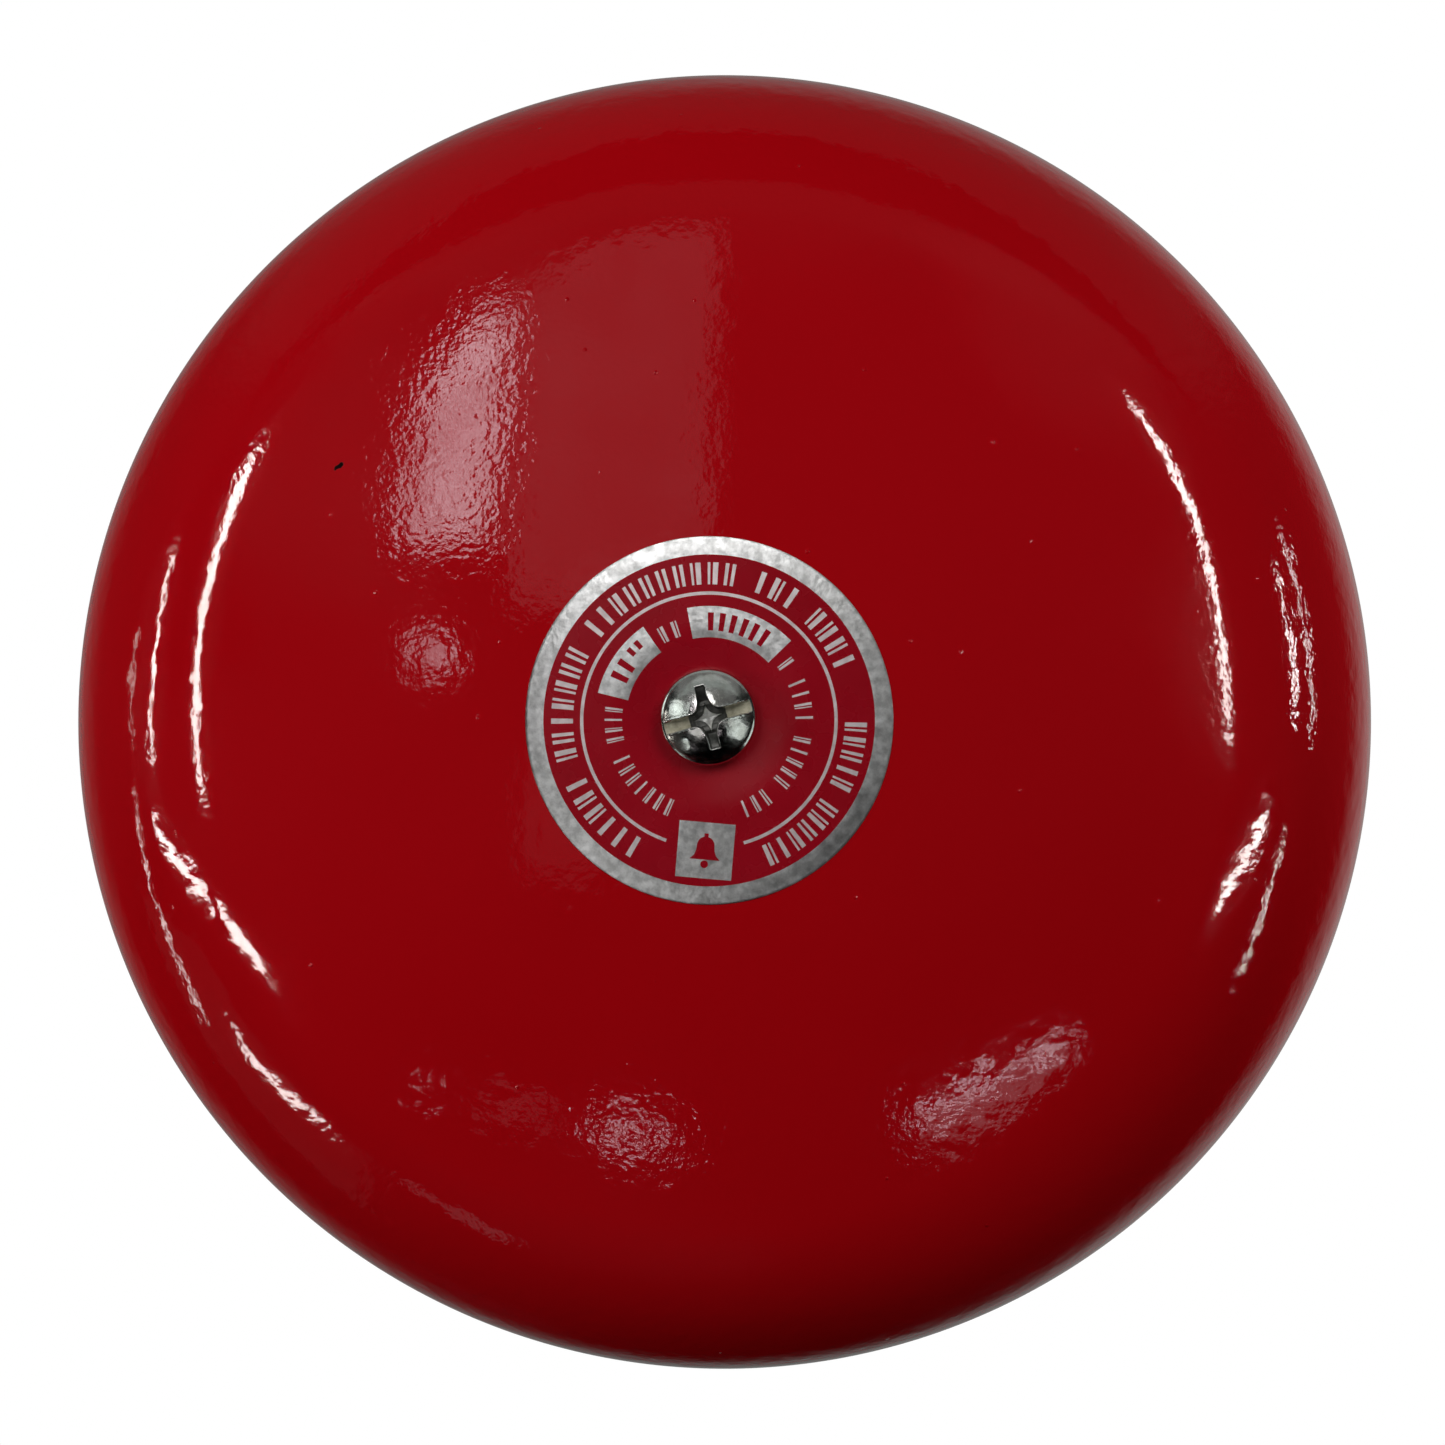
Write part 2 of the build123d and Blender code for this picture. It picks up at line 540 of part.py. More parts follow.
def make_post_seal():
    """A rubber collar between the post and the cover, with a groove that keeps it in the hole."""
    return ring(SEAL_RADIUS, POST_RADIUS, COVER_TOP - COVER_WALL, COVER_TOP + 0.8) + ring(
        SEAL_RADIUS + 1.2, POST_RADIUS, COVER_TOP - COVER_WALL - 1.2, COVER_TOP - COVER_WALL)


# ---- solenoid -------------------------------------------------------------------------------------
def make_solenoid_frame():
    """One steel strip bent into a C round the coil, with ears beside the coil for four screws."""
    low, high, plate = FRAME_LOW, FRAME_HIGH, FRAME_PLATE
    side = [(low, FRAME_TOP), (low, FRAME_SEAT), (high, FRAME_SEAT), (high, FRAME_TOP),
            (high - plate, FRAME_TOP), (high - plate, FRAME_SEAT + plate),
            (low + plate, FRAME_SEAT + plate), (low + plate, FRAME_TOP)]
    outline = make_face(Polyline(*[(0, y, z) for y, z in side], close=True))
    strip = Pos(-FRAME_WIDTH / 2, 0, 0) * extrude(outline, FRAME_WIDTH, dir=(1, 0, 0))
    bends = strip.edges().filter_by(Axis.X).group_by(Axis.Z)
    strip = fillet(bends[0], FRAME_BEND)
    inner_bends = strip.edges().filter_by(Axis.X).filter_by(
        lambda e: abs(e.center().Z - FRAME_SEAT - plate) < 1e-3)
    strip = fillet(inner_bends, FRAME_BEND - plate)
    ears = extrude(RectangleRounded(2 * EAR_REACH, high - low - 2 * EAR_MARGIN, 3.0), plate)
    frame = strip + Pos(0, (low + high) / 2, FRAME_SEAT) * ears
    for x, y in FRAME_SCREWS:
        frame -= rod(M4_SHANK + HOLE_PLAY, 0, FRAME_TOP, x, y)
    frame -= on_stroke(rod(TUBE_RADIUS, low - 1, low + plate + 1))
    return frame - on_stroke(rod(CORE_SPIGOT, high - plate - 1, high + 1))


def make_frame_screws():
    screw = pan_screw(M4_HEAD, M4_SHANK, 9.5)
    return group(Pos(x, y, FRAME_SEAT + FRAME_PLATE + WASHER) * screw for x, y in FRAME_SCREWS)


def make_frame_spring_washers():
    washer = ring(3.7, M4_SHANK + HOLE_PLAY, 0, WASHER) - block(1.5, 5, -0.25, 0.25, -1, 2)
    return group(Pos(x, y, FRAME_SEAT + FRAME_PLATE) * washer for x, y in FRAME_SCREWS)


BOBBIN_HALF_WIDTH, BOBBIN_HALF_HEIGHT = 12.7, 11.5
BOBBIN_FLANGE = 1.2
BOBBIN_TUBE = 6.3
WINDING_RADIUS = 10.3
TAPE_THICKNESS = 0.4
TAG_X = 7.0
TAG_Z = STRIKE_Z + 10.0
TAG_SIZE = (2.4, 0.6)
TAG_LOW = WINDOW_LOW - 5.5
COIL_LOW, COIL_HIGH = WINDOW_LOW + BOBBIN_FLANGE + 0.1, WINDOW_HIGH - BOBBIN_FLANGE - 0.1


def coil_tag(x):
    half_width, half_depth = TAG_SIZE[0] / 2, TAG_SIZE[1] / 2
    return block(x - half_width, x + half_width, TAG_LOW, COIL_LOW, TAG_Z - half_depth, TAG_Z + half_depth)


def make_coil_bobbin():
    flange = extrude(RectangleRounded(2 * BOBBIN_HALF_WIDTH, 2 * BOBBIN_HALF_HEIGHT, 3.0), BOBBIN_FLANGE)
    bobbin = rod(BOBBIN_TUBE, WINDOW_LOW + 0.1, WINDOW_HIGH - 0.1)
    bobbin += Pos(0, 0, WINDOW_LOW + 0.1) * flange + Pos(0, 0, COIL_HIGH) * flange
    bobbin = on_stroke(bobbin - rod(TUBE_RADIUS, WINDOW_LOW - 1, WINDOW_HIGH + 1))
    return bobbin - coil_tag(-TAG_X) - coil_tag(TAG_X)


def make_coil_tags():
    hole = rod(0.5, TAG_Z - 2, TAG_Z + 2)
    return group(coil_tag(x) - Pos(x, TAG_LOW + 1.3, 0) * hole for x in (-TAG_X, TAG_X))


def make_coil_winding():
    return on_stroke(ring(WINDING_RADIUS, BOBBIN_TUBE, COIL_LOW, COIL_HIGH))


def make_coil_tape():
    """Insulating tape round the winding: two turns, so its free end stands up as a small step."""
    tape = ring(WINDING_RADIUS + TAPE_THICKNESS, WINDING_RADIUS, COIL_LOW, COIL_HIGH)
    lap = ring(WINDING_RADIUS + 0.55, WINDING_RADIUS + 0.2, COIL_LOW, COIL_HIGH)
    return on_stroke(tape + (lap & block(0, 20, -20, 3, COIL_LOW, COIL_HIGH)))


def make_guide_tube():
    tube = rod(TUBE_RADIUS, TUBE_LOW, WINDOW_HIGH)
    return on_stroke(tube - rod(TUBE_BORE, TUBE_LOW + TUBE_END, WINDOW_HIGH + 1))


def make_fixed_core():
    """The iron stop at the outer end of the tube, riveted into the frame and bored for the rod."""
    core = rod(TUBE_BORE, CORE_LOW, WINDOW_HIGH) + rod(CORE_SPIGOT, WINDOW_HIGH, FRAME_HIGH)
    core += rod(5.6, FRAME_HIGH, FRAME_HIGH + 1.2)
    core -= rod(SPRING_WELL_RADIUS, CORE_LOW - 1, CORE_LOW + SPRING_WELL_DEPTH)
    return on_stroke(core - rod(CORE_BORE, CORE_LOW, FRAME_HIGH + 3))


def make_tail_buffer():
    return on_stroke(rod(TUBE_BORE, TUBE_LOW + TUBE_END, TUBE_LOW + TUBE_END + BUFFER_THICKNESS))


def make_plunger():
    """The moving iron, with two air grooves along it so that it doesn't pump."""
    body = chamfer(rod(PLUNGER_RADIUS, PLUNGER_LOW, PLUNGER_HIGH).edges().filter_by(GeomType.CIRCLE), 0.4)
    for side in (-1, 1):
        body -= block(side * 4.4 - 0.5, side * 4.4 + 0.5, -0.6, 0.6, PLUNGER_LOW - 1, PLUNGER_HIGH + 1)
    return on_stroke(body - rod(ROD_RADIUS, ROD_LOW, PLUNGER_HIGH + 1))


def make_return_spring():
    """A round-wire spring round the rod, pressing the plunger back on its buffer."""
    low = PLUNGER_HIGH + SPRING_WIRE + 0.1
    high = CORE_LOW + SPRING_WELL_DEPTH - SPRING_WIRE - 0.1
    helix = Helix(pitch=(high - low) / SPRING_TURNS, height=high - low, radius=SPRING_RADIUS)
    wire = sweep(Plane(origin=helix @ 0, z_dir=helix % 0) * Circle(SPRING_WIRE), path=helix, is_frenet=True)
    return on_stroke(Pos(0, 0, low) * wire)


# ---- striker --------------------------------------------------------------------------------------
GONG_INSIDE = lip_point(-GONG_WALL)[0] - (STRIKE_Z - LIP_Z) / math.tan(SKIRT_ANGLE)
TIP_HIGH = GONG_INSIDE - STRIKE_GAP - STROKE
TIP_LOW = TIP_HIGH - TIP_LENGTH
ROD_LOW = PLUNGER_HIGH - 8.0
ROD_HIGH = TIP_LOW + 4.5


def make_striker_rod():
    return on_stroke(rod(ROD_RADIUS, ROD_LOW, ROD_HIGH))


def make_striker_tip():
    """A brass striking head screwed on the rod, with a domed face and a waist for the spanner."""
    edge = TIP_DOME - math.sqrt(TIP_DOME**2 - TIP_RADIUS**2)
    head = domed_head(TIP_RADIUS, TIP_LENGTH, TIP_LENGTH - edge)
    flats = block(-8, 8, 4.2, 8, 1.0, 3.6) + block(-8, 8, -8, -4.2, 1.0, 3.6)
    return on_stroke(Pos(0, 0, TIP_LOW) * (head - flats - rod(ROD_RADIUS, -1, ROD_HIGH - TIP_LOW)))


def make_striker_locknut():
    low = TIP_LOW - LOCKNUT
    corners = Pos(0, 0, low) * Cone(4.35, 3.75, LOCKNUT, align=(Align.CENTER, Align.CENTER, Align.MIN))
    return on_stroke((hexagon(7.0, low, TIP_LOW) & corners) - rod(ROD_RADIUS, low - 1, TIP_LOW + 1))


def make_striker_bush():
    """The flanged brass bearing in the cover's port, with a pocket for the wiper."""
    bush = rod(BUSH_RADIUS, BUSH_LOW, PORT_END) + rod(BUSH_FLANGE_RADIUS, PORT_END, PORT_END + BUSH_FLANGE)
    bush -= rod(3.6, PORT_END - 1.0, PORT_END + 3)
    return on_stroke(bush - rod(ROD_RADIUS + 0.08, BUSH_LOW - 1, PORT_END + 3))


def make_dust_wiper():
    return on_stroke(ring(3.6, ROD_RADIUS + 0.08, PORT_END - 1.0, PORT_END + BUSH_FLANGE - 0.3))


def make_bush_retainer():
    """A push-on ring with spring fingers that holds the bush from inside the cover."""
    washer = ring(7.2, BUSH_RADIUS, BUSH_LOW + 0.6, BUSH_LOW + 1.2)
    for k in range(6):
        washer -= Rot(0, 0, 60 * k) * block(4, 5.8, -0.35, 0.35, BUSH_LOW, BUSH_LOW + 2)
    return on_stroke(washer)


# ---- terminals and internal leads -------------------------------------------------------------------
SCREW_ROWS = (BLOCK_LOW + 3.6, BLOCK_HIGH - 3.6)
POLES = (-POLE_X, POLE_X)


def barrel_space(x):
    half = BARREL_SIDE / 2
    return block(x - half, x + half, BLOCK_LOW + 1.0, BLOCK_HIGH - 1.0, BARREL_Z - half, BARREL_Z + half)


def wire_way(x, radius):
    """The way in for a wire, right through a pole from front to back."""
    length = BLOCK_HIGH - BLOCK_LOW + 2
    return Pos(x, BLOCK_MIDDLE, BARREL_Z) * Rot(90, 0, 0) * Cylinder(radius, length)


def make_terminal_block():
    body = block(-BLOCK_WIDTH / 2, BLOCK_WIDTH / 2, BLOCK_LOW, BLOCK_HIGH, BLOCK_SEAT, BLOCK_TOP)
    body = chamfer(body.edges().filter_by(Axis.Y).group_by(Axis.Z)[-1], 1.0)
    body -= block(-1.4, 1.4, BLOCK_LOW - 1, BLOCK_HIGH + 1, BLOCK_SEAT + BLOCK_SCREW_SEAT, BLOCK_TOP + 1)
    body -= rod(M3_SHANK + HOLE_PLAY, 0, BLOCK_TOP, 0, BLOCK_MIDDLE)
    body -= rod(M3_HEAD[0] + 0.1, BLOCK_SEAT + BLOCK_SCREW_SEAT, BLOCK_TOP + 1, 0, BLOCK_MIDDLE)
    for x in POLES:
        body -= barrel_space(x) + wire_way(x, 2.1)
        for y in SCREW_ROWS:
            body -= rod(2.0, BARREL_Z, BLOCK_TOP + 1, x, y)
    return body


def make_terminal_barrel(x):
    barrel = barrel_space(x) - wire_way(x, BARREL_BORE)
    for y in SCREW_ROWS:
        barrel -= rod(M3_SHANK + FIT, BARREL_Z, BARREL_Z + 5, x, y)
    return barrel


def make_terminal_clamp_screws():
    """Four clamp screws: the coil side is done up on the leads, the supply side stands open."""
    screws = []
    for x in POLES:
        for y, low in zip(SCREW_ROWS, (BARREL_Z + 1.8, BARREL_Z + WIRE_RADIUS + 0.1)):
            screws.append(Pos(x, y, 0) * grub_screw(M3_SHANK, low, low + 6.0))
    return group(screws)


def make_terminal_fixing_screw():
    return Pos(0, BLOCK_MIDDLE, BLOCK_SEAT + BLOCK_SCREW_SEAT) * pan_screw(M3_HEAD, M3_SHANK, 8.0)


def make_coil_lead(side):
    """An insulated lead from a coil tag, past the post, down into its terminal."""
    tag_end = TAG_LOW - 0.4
    points = [(side * TAG_X, tag_end, TAG_Z),
              (side * (TAG_X + 1.2), tag_end - 5.5, TAG_Z + 0.2),
              (side * (TAG_X + 3.4), -0.5, TAG_Z - 2.0),
              (side * (TAG_X + 3.6), -8.5, TAG_Z - 6.5),
              (side * (TAG_X + 2.4), -14.0, TAG_Z - 13.5),
              (side * (TAG_X + 0.2), -17.2, BARREL_Z + 4.4),
              (side * POLE_X, -21.0, BARREL_Z + 0.05),
              (side * POLE_X, BLOCK_HIGH - 5.2, BARREL_Z)]
    return routed_tube(points, WIRE_RADIUS)


def make_parts():
    return {
        "gong": make_gong(),
        "nameplate_foil": make_nameplate_foil(),
        "gong_screw": make_gong_screw(),
        "gong_fibre_washer": make_gong_washer(),
        "gong_post": make_gong_post(),
        "post_lock_washer": make_post_lock_washer(),
        "base_casting": make_base_casting(),
        "cable_grommet": make_cable_grommet(),
        "earth_screw": make_earth_screw(),
        "earth_cup_washer": make_earth_cup_washer(),
        "earth_star_washer": make_earth_star_washer(),
        "cable_clamp": make_cable_clamp(),
        "cable_clamp_screws": make_clamp_screws(),
        "housing_cover": make_housing_cover(),
        "cover_gasket": make_cover_gasket(),
        "cover_screws": make_cover_screws(),
        "cover_screw_washers": make_cover_screw_washers(),
        "post_seal": make_post_seal(),
        "solenoid_frame": make_solenoid_frame(),
        "frame_screws": make_frame_screws(),
        "frame_spring_washers": make_frame_spring_washers(),
        "coil_bobbin": make_coil_bobbin(),
        "coil_tags": make_coil_tags(),
        "coil_winding": make_coil_winding(),
        "coil_tape": make_coil_tape(),
        "guide_tube": make_guide_tube(),
        "fixed_core": make_fixed_core(),
        "tail_buffer": make_tail_buffer(),
        "plunger": make_plunger(),
        "return_spring": make_return_spring(),
        "striker_rod": make_striker_rod(),
        "striker_tip": make_striker_tip(),
        "striker_locknut": make_striker_locknut(),
        "striker_bush": make_striker_bush(),
        "dust_wiper": make_dust_wiper(),
        "bush_retainer": make_bush_retainer(),
        "terminal_block": make_terminal_block(),
        "terminal_barrel_left": make_terminal_barrel(-POLE_X),
        "terminal_barrel_right": make_terminal_barrel(POLE_X),
        "terminal_clamp_screws": make_terminal_clamp_screws(),
        "terminal_fixing_screw": make_terminal_fixing_screw(),
        "coil_lead_left": make_coil_lead(-1),
        "coil_lead_right": make_coil_lead(1),
    }


os.makedirs("parts", exist_ok=True)
for node, shape in make_parts().items():
    write(shape, node)
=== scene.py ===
import json
import math
import random

import bmesh
import bpy
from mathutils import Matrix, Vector, noise


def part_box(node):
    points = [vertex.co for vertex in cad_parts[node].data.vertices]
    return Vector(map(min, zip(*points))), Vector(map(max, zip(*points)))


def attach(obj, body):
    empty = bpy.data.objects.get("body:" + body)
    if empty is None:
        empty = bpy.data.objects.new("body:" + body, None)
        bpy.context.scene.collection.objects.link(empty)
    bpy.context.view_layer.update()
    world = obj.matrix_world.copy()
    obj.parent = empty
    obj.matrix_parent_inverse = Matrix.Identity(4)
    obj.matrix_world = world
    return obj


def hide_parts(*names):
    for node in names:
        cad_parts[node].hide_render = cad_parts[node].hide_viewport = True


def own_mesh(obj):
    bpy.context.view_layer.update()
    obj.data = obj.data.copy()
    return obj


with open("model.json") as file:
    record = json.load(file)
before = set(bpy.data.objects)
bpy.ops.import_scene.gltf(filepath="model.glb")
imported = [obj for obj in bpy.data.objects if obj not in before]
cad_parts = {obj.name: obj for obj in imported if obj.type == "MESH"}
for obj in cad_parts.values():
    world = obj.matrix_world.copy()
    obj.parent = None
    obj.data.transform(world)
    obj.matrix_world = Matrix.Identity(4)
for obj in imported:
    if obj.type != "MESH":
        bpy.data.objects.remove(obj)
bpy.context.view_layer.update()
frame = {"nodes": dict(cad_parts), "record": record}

NODES = frame["nodes"]
MM = 0.001

# ---- the bell's own sizes, mm: x to the right, up the wall, out of the wall ------------------------
CROWN_RADIUS, CROWN_CENTRE = 210.0, -153.0
SHOULDER_RADIUS, SHOULDER_R, SHOULDER_OUT = 25.0, 49.480, 25.260
SHOULDER_START = math.radians(15.513)
SKIRT_START = math.radians(87.0)
LIP_R, LIP_OUT, WALL = 75.0, 16.0, 1.5
SEAT_OUT, SEAT_FLAT, SEAT_RIM, HOLE_R = 56.2, 5.0, 10.5, 3.3
FOIL, FOIL_R, FOIL_HOLE = 0.15, 20.0, 3.6
INK_R = 18.0
STRIKE_OUT = 23.0
SPRING_R, WIRE_R, SPRING_TURNS = 2.9, 0.3, 8


def at(x, up, out):
    return Vector((x, -out, up)) * MM


def polar(r, degrees, out):
    a = math.radians(degrees)
    return at(r * math.cos(a), r * math.sin(a), out)


def smooth(t):
    t = min(1.0, max(0.0, t))
    return t * t * (3 - 2 * t)


def crown_out(r):
    """Height of the gong's front over the wall, from the screw's seat to the shoulder."""
    crown = CROWN_CENTRE + math.sqrt(CROWN_RADIUS ** 2 - r * r)
    if r >= SEAT_RIM:
        return crown
    return SEAT_OUT + (crown - SEAT_OUT) * smooth((r - SEAT_FLAT) / (SEAT_RIM - SEAT_FLAT))


def spread(low, high, count):
    return [low + (high - low) * k / (count - 1) for k in range(count)]


# ---- meshes ---------------------------------------------------------------------------------------
def mesh_piece(name, verts, faces, smooth_shade=True):
    mesh = bpy.data.meshes.new(name)
    mesh.from_pydata([tuple(v) for v in verts], [], faces)
    bm = bmesh.new()
    bm.from_mesh(mesh)
    bmesh.ops.recalc_face_normals(bm, faces=bm.faces)
    bm.to_mesh(mesh)
    bm.free()
    for face in mesh.polygons:
        face.use_smooth = smooth_shade
    piece = bpy.data.objects.new(name, mesh)
    bpy.context.scene.collection.objects.link(piece)
    return piece


def lathe(name, profile, segments):
    """Turns a closed profile of (radius, out) pairs round the bell's axis."""
    count = len(profile)
    verts = [polar(r, 360 * s / segments, out) for s in range(segments) for r, out in profile]
    faces = []
    for s in range(segments):
        a, b = s * count, (s + 1) % segments * count
        for k in range(count):
            n = (k + 1) % count
            faces.append((a + k, a + n, b + n, b + k))
    return mesh_piece(name, verts, faces)


def ring_faces(rings, segments):
    """Faces of a disc, whose vertices are its middle and then so many rings."""
    faces = [(0, 1 + s, 1 + (s + 1) % segments) for s in range(segments)]
    for k in range(rings - 1):
        a, b = 1 + k * segments, 1 + (k + 1) * segments
        for s in range(segments):
            n = (s + 1) % segments
            faces.append((a + s, b + s, b + n, a + n))
    return faces


def ready(piece, body, slot, material, *replaced):
    """Gives a piece its material and body, and hides the CAD nodes that it stands for; the slot is not used.
    """
    piece.data.materials.append(material)
    if replaced:
        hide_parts(*replaced)
    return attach(piece, body)


# ---- materials ------------------------------------------------------------------------------------
def add_node(tree, kind, **settings):
    made = tree.nodes.new(kind)
    for key, value in settings.items():
        setattr(made, key, value)
    return made


def map_range(tree, value, low, high, out_low, out_high, kind="LINEAR"):
    made = add_node(tree, "ShaderNodeMapRange", interpolation_type=kind)
    tree.links.new(value, made.inputs["Value"])
    for key, number in (("From Min", low), ("From Max", high), ("To Min", out_low), ("To Max", out_high)):
        made.inputs[key].default_value = number
    return made.outputs["Result"]


class Surface:
    """A node material: short calls add nodes and wire them."""

    def __init__(self, name):
        self.material = bpy.data.materials.new(name)
        self.material.use_nodes = True
        self.tree = self.material.node_tree
        self.tree.nodes.clear()
        self.bsdf = self.node("ShaderNodeBsdfPrincipled")
        self.link(self.bsdf.outputs[0], self.node("ShaderNodeOutputMaterial").inputs["Surface"])
        self.place = self.node("ShaderNodeTexCoord").outputs["Object"]

    def node(self, kind, **settings):
        return add_node(self.tree, kind, **settings)

    def link(self, source, target):
        self.tree.links.new(source, target)

    def feed(self, target, value):
        if isinstance(value, bpy.types.NodeSocket):
            self.link(value, target)
        else:
            target.default_value = value

    def set(self, **values):
        for key, value in values.items():
            socket = self.bsdf.inputs[key.replace("_", " ")]
            if isinstance(value, (tuple, list)) and len(value) == 3:
                value = (*value, 1.0)
            self.feed(socket, value)

    def noise(self, scale, detail=2.0, rough=0.5, place=None, distort=0.0):
        made = self.node("ShaderNodeTexNoise")
        made.inputs["Scale"].default_value = scale
        made.inputs["Detail"].default_value = detail
        made.inputs["Roughness"].default_value = rough
        made.inputs["Distortion"].default_value = distort
        self.link(place or self.place, made.inputs["Vector"])
        return made.outputs["Fac"]

    def stretched(self, x, y, z):
        made = self.node("ShaderNodeVectorMath", operation="MULTIPLY")
        self.link(self.place, made.inputs[0])
        made.inputs[1].default_value = (x, y, z)
        return made.outputs[0]

    def math(self, operation, a, b):
        made = self.node("ShaderNodeMath", operation=operation)
        self.feed(made.inputs[0], a)
        self.feed(made.inputs[1], b)
        return made.outputs[0]

    def span(self, value, low, high, out_low=0.0, out_high=1.0, kind="LINEAR"):
        return map_range(self.tree, value, low, high, out_low, out_high, kind)

    def mix(self, factor, a, b):
        made = self.node("ShaderNodeMix", data_type="RGBA")
        self.feed(made.inputs[0], factor)
        for socket, value in ((made.inputs[6], a), (made.inputs[7], b)):
            if isinstance(value, tuple):
                value = (*value, 1.0)
            self.feed(socket, value)
        return made.outputs[2]

    def blend(self, factor, a, b):
        """A number that goes from a to b."""
        made = self.node("ShaderNodeMix", data_type="FLOAT")
        self.feed(made.inputs[0], factor)
        self.feed(made.inputs[2], a)
        self.feed(made.inputs[3], b)
        return made.outputs[0]

    def near(self, x, up, out, radius, soft=0.5):
        """1 close to a point of the bell, 0 from radius on; soft is the fading part of the radius."""
        away = self.node("ShaderNodeVectorMath", operation="DISTANCE")
        self.link(self.place, away.inputs[0])
        away.inputs[1].default_value = at(x, up, out)
        return self.span(away.outputs["Value"], radius * MM * (1 - soft), radius * MM, 1.0, 0.0, "SMOOTHSTEP")

    def voronoi(self, scale, feature="F1", output="Distance"):
        made = self.node("ShaderNodeTexVoronoi", feature=feature)
        made.inputs["Scale"].default_value = scale
        self.link(self.place, made.inputs["Vector"])
        return made.outputs[output]

    def bump(self, *heights):
        """Heights are in metres: each is a socket and what to multiply it by."""
        total = None
        for value, size in heights:
            part = self.math("MULTIPLY", value, size)
            total = part if total is None else self.math("ADD", total, part)
        made = self.node("ShaderNodeBump")
        made.inputs["Strength"].default_value = 1.0
        made.inputs["Distance"].default_value = 1.0
        self.link(total, made.inputs["Height"])
        self.link(made.outputs["Normal"], self.bsdf.inputs["Normal"])


# spots of the enamel: x, up, out and radius in mm
ROUGH_SPRAY = (-27.0, 30.0, 54.0, 34.0)
LOW_SPRAY = (0.0, -50.0, 50.0, 52.0)
STRIKE_SPOT = (0.0, 73.2, STRIKE_OUT, 3.4)
SHOULDER_Y = (-0.0505, -0.043)
INSIDE_R = (0.0738, 0.0742)
NIB_SCALE, NIB_REACH, NIBS_LEFT_OUT = 200.0, 0.058, 0.3
CHIP_X, CHIP_UP, CHIP_R, CHIP_TURN = -41.1, 28.0, 49.7, -35
CHIP_HALVES = (0.75 * MM, 2.0 * MM, 0.26 * MM)


def gong_enamel():
    """Gloss red: orange peel in patches, waves on the shoulder, nibs, a chip and the wear mark inside."""
    s = Surface("gong_enamel")
    split = s.node("ShaderNodeSeparateXYZ")
    s.link(s.place, split.inputs[0])
    shoulder = s.span(split.outputs["Y"], *SHOULDER_Y)
    low_spray = s.math("MULTIPLY", s.near(*LOW_SPRAY), 1.25)
    rougher = s.math("MULTIPLY", shoulder, 2.3)
    amount = s.math("ADD", s.math("MAXIMUM", low_spray, rougher), 1.0)
    patches = s.span(s.noise(24.0, 1.0), 0.38, 0.60, 0.35, 0.75, "SMOOTHSTEP")
    patches = s.math("ADD", patches, s.near(*ROUGH_SPRAY, 0.65))
    fine = s.math("MULTIPLY", s.math("MULTIPLY", s.noise(2300.0, 1.0, 0.5), patches), amount)
    peel = s.math("MULTIPLY", s.noise(1150.0, 0.5, 0.5), s.math("MULTIPLY", patches, amount))
    ripple = s.math("MULTIPLY", s.noise(560.0, 0.5, 0.4), amount)
    waves = s.math("MULTIPLY", s.noise(330.0, 1.0, 0.5), shoulder)
    sway = s.noise(110.0, 1.0)
    chosen = s.math("GREATER_THAN", s.voronoi(NIB_SCALE, output="Color"), NIBS_LEFT_OUT)
    nib = s.math("MULTIPLY", s.span(s.voronoi(NIB_SCALE), 0.0, NIB_REACH, 1.0, 0.0, "SMOOTHSTEP"), chosen)
    s.bump((fine, 0.6e-5), (peel, 1.0e-5), (ripple, 1.6e-5), (waves, 4.2e-5), (sway, 3.0e-5), (nib, 9.0e-5))
    flat = s.stretched(1.0, 0.0, 1.0)
    from_axis = s.node("ShaderNodeVectorMath", operation="LENGTH")
    s.link(flat, from_axis.inputs[0])
    inside = s.span(from_axis.outputs["Value"], *INSIDE_R, 1.0, 0.0)
    worn = s.math("MULTIPLY", s.near(*STRIKE_SPOT), inside)
    chip = chip_mask(s)
    red = s.mix(s.span(s.noise(14.0, 2.0), 0.3, 0.7), (0.585, 0.0016, 0.0062), (0.625, 0.0024, 0.0078))
    colour = s.mix(worn, s.mix(chip, red, (0.006, 0.004, 0.004)), (0.45, 0.43, 0.41))
    gloss = s.blend(chip, s.span(s.noise(60.0, 3.0), 0.3, 0.7, 0.045, 0.075), 0.6)
    s.set(Base_Color=colour, Roughness=s.blend(worn, gloss, 0.35), IOR=1.5,
          Metallic=s.math("MAXIMUM", worn, chip))
    return s.material


def chip_mask(s):
    """A short scratch through the enamel, upper left on the crown."""
    turn = s.node("ShaderNodeMapping", vector_type="TEXTURE")
    s.link(s.place, turn.inputs["Vector"])
    turn.inputs["Location"].default_value = at(CHIP_X, CHIP_UP, crown_out(CHIP_R))
    turn.inputs["Rotation"].default_value = (0.0, math.radians(CHIP_TURN), 0.0)
    turn.inputs["Scale"].default_value = CHIP_HALVES
    away = s.node("ShaderNodeVectorMath", operation="LENGTH")
    s.link(turn.outputs[0], away.inputs[0])
    edge = s.math("ADD", away.outputs["Value"], s.span(s.noise(1800.0, 2.0), 0.2, 0.8, -0.5, 0.5))
    return s.span(edge, 0.8, 1.05, 1.0, 0.0)


